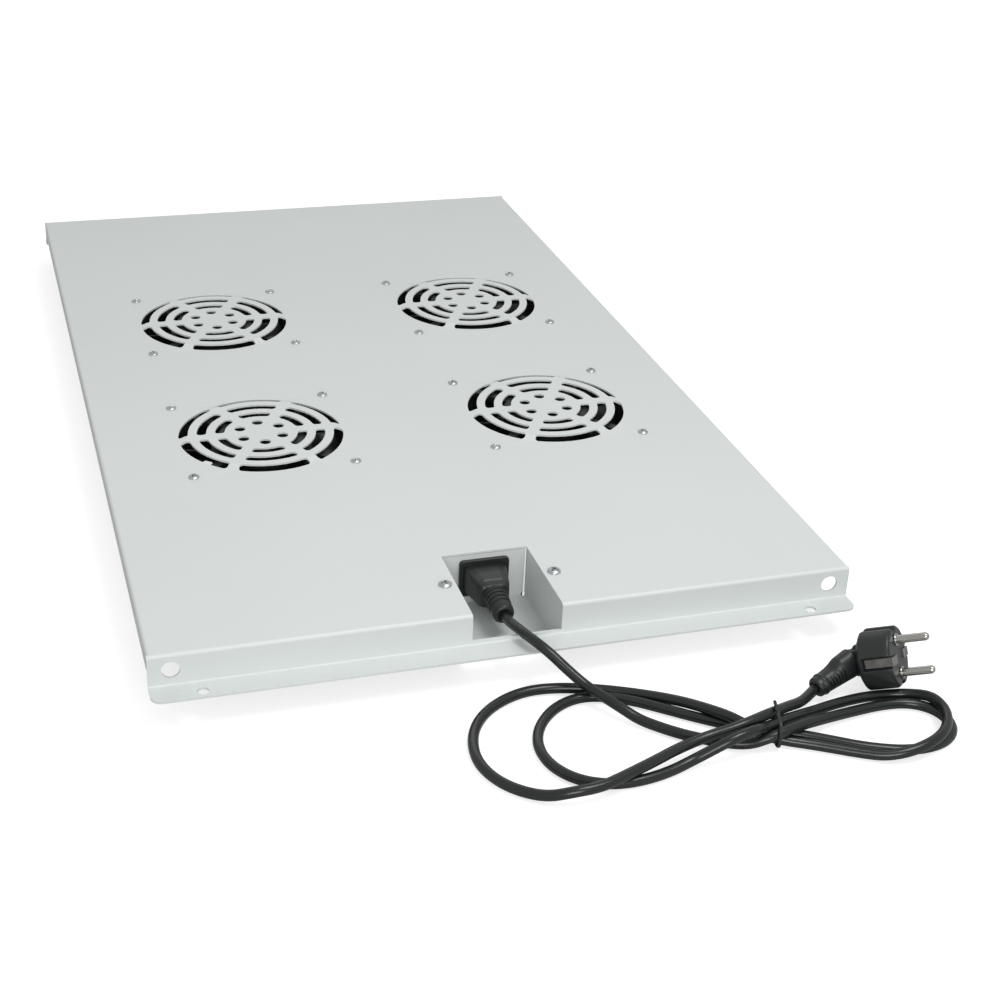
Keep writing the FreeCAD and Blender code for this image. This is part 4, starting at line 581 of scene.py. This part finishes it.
def plug_boot():
    """A skin along the line from the knuckle to the cord. The radius follows a quarter circle over the
    knuckle, tapers to the end, sinks in a row of slots on each flank, stands proud in a collar, and rises
    on top in the thumb rest. It ends in a hollow round the cord."""
    aim = back_end - neck_end
    length = np.linalg.norm(aim)
    aim = aim / length
    side = np.cross(aim, [0, 0, 1])
    side /= np.linalg.norm(side)
    up = np.cross(side, aim)
    quarter = np.linspace(0, 0.5 * np.pi, 9)[:-1]
    straight = np.linspace(0, length - HOLLOW, 120)
    s = np.concatenate([-KNUCKLE * np.cos(quarter), straight])[:, None]
    r = np.concatenate([KNUCKLE * np.sin(quarter),
                        np.interp(straight, [0, length], [KNUCKLE, BOOT_END_RADIUS])])[:, None]
    a = np.linspace(0, 2 * np.pi, 96, endpoint=False)[None]
    flank = np.exp(-((np.abs(np.sin(a)) - 1) / 0.28) ** 2)
    first = 0.38 * length
    slots = np.clip(np.cos((s - 0.42 * length) / RIB_PITCH * 2 * np.pi) * 2.2 - 0.6, 0, 1)
    slots = slots * step(s, first, 0.6) * (1 - step(s, first + RIB_COUNT * RIB_PITCH, 0.6))
    collar = np.exp(-((s - 0.84 * length) / 1.1) ** 2) * 0.5
    crest = step(s, 1.5, 4.0) * (1 - step(s, 0.5 * length, 8.0))
    ridge = np.clip(np.cos(a), 0, 1) ** 3
    r = r - RIB_DEPTH * slots * flank + collar + THUMB_REST * crest * ridge
    back, mouth = MOUTH.T[..., None]
    s = np.concatenate([s, length - back])[..., None]
    r = np.concatenate([r, np.broadcast_to(mouth, (len(MOUTH), a.size))])[..., None]
    return neck_end + s * aim + r * (np.sin(a)[..., None] * side + np.cos(a)[..., None] * up)


plug = build("plug_moulding", [plug_head()], angle=26)
put(plug, "tray", soft_pvc, ("plug_body",))
boot = build("plug_cord_boot", [plug_boot()], angle=45)
put(boot, "tray", soft_pvc)
# The clips' plating is painted darker than the pins' as painted shade for the depth of their slots, and its
# cloudy light patches are painted glints.
slot_shaded_nickel = grained("nickel_plate_with_painted_shade_and_glints", "A09F9B", "3E3E3D", (0.16, 0.4), 7.0, 0.01, metallic=1.0)
pins = refine("plug_pins", nickel)
clips = refine("plug_earth_clips", slot_shaded_nickel, round_mm=0.2)

# ---------------------------------------------------------------- studio
# A white bench top that runs out of sight, and an even pale surround. A soft lamp stands overhead, a
# large one in front, and a low strip behind draws a light line along the cord and the folds.

BENCH_REACH, BENCH_GAP = 6.0, 0.0002  # Metres from the middle to each edge, and from the bench to the tray.
bench = bpy.data.meshes.new("bench_mesh")
corners = [(-BENCH_REACH, -BENCH_REACH, 0), (BENCH_REACH, -BENCH_REACH, 0), (BENCH_REACH, BENCH_REACH, 0),
           (-BENCH_REACH, BENCH_REACH, 0)]
bench.from_pydata(corners, [], [(0, 1, 2, 3)])
floor = bpy.data.objects.new("bench_top", bench)
bpy.context.scene.collection.objects.link(floor)
floor.location = (0, 0, -BENCH_GAP)
# Matt white laminate: it takes a soft shadow, and reads white where nothing shades it.
material = bpy.data.materials.new("white_bench")
material.use_nodes = True
tree = material.node_tree
tree.nodes.clear()
matte = add_node(tree, "ShaderNodeBsdfDiffuse", {"Color": (0.56, 0.56, 0.56, 1)})
seen = add_node(tree, "ShaderNodeLightPath")
lift = add_node(tree, "ShaderNodeMath", {0: seen.outputs["Is Camera Ray"], 1: 0.68}, operation="MULTIPLY")
glow = add_node(tree, "ShaderNodeEmission", {"Color": (1, 1, 1, 1), "Strength": lift.outputs["Value"]})
both = add_node(tree, "ShaderNodeAddShader", {0: matte.outputs["BSDF"], 1: glow.outputs["Emission"]})
add_node(tree, "ShaderNodeOutputMaterial", {"Surface": both.outputs["Shader"]})
bench.materials.append(material)

world = bpy.data.worlds.new("pale_surround")
bpy.context.scene.world = world
world.use_nodes = True
tree = world.node_tree
tree.nodes.clear()
seen = add_node(tree, "ShaderNodeLightPath")
level = add_node(tree, "ShaderNodeMapRange", {"Value": seen.outputs["Is Camera Ray"], "To Min": 0.56,
                                              "To Max": 1.0})
sky = add_node(tree, "ShaderNodeBackground", {"Color": (1, 1, 1, 1), "Strength": level.outputs["Result"]})
add_node(tree, "ShaderNodeOutputWorld", {"Surface": sky.outputs["Background"]})


def lamp(name, place, aim, width, height, power):
    """A soft lamp at a place, turned to a point, in metres and watts."""
    light = bpy.data.lights.new(name, "AREA")
    light.shape = "RECTANGLE"
    light.size, light.size_y = width, height
    light.energy = power
    holder = bpy.data.objects.new(name, light)
    bpy.context.scene.collection.objects.link(holder)
    turn = (Vector(aim) - Vector(place)).to_track_quat("-Z", "Y")
    holder.matrix_world = Matrix.Translation(place) @ turn.to_matrix().to_4x4()


lamp("overhead_lamp", (0.4, -0.7, 1.4), (0.05, -0.4, 0), 0.6, 0.6, 7.8)
lamp("front_lamp", (-0.45, -2.5, 0.9), (0, -0.35, 0), 1.2, 0.9, 20.0)
lamp("strip_behind", (0.35, 1.5, 1.3), (0.1, -0.4, 0), 1.6, 0.3, 2.0)

EYE = (-0.2764, -1.1435, 0.5549)
AZIMUTH, HEIGHT, ROLLED = np.radians([-18.343, 28.041, 2.608])
scene = bpy.context.scene
eye = bpy.data.cameras.new("product_camera")
eye.sensor_width = 36
eye.lens = 62.95
eye.clip_start, eye.clip_end = 0.02, 50
camera = bpy.data.objects.new("product_camera", eye)
scene.collection.objects.link(camera)
back = np.array([np.sin(AZIMUTH) * np.cos(HEIGHT), -np.cos(AZIMUTH) * np.cos(HEIGHT), np.sin(HEIGHT)])
level = np.array([np.cos(AZIMUTH), np.sin(AZIMUTH), 0])
upright = np.cross(back, level)
right = level * np.cos(ROLLED) + upright * np.sin(ROLLED)
up = upright * np.cos(ROLLED) - level * np.sin(ROLLED)
camera.matrix_world = Matrix.Translation(EYE) @ Matrix(np.stack([right, up, back], 1).tolist()).to_4x4()
scene.camera = camera
scene.view_settings.view_transform = "Standard"
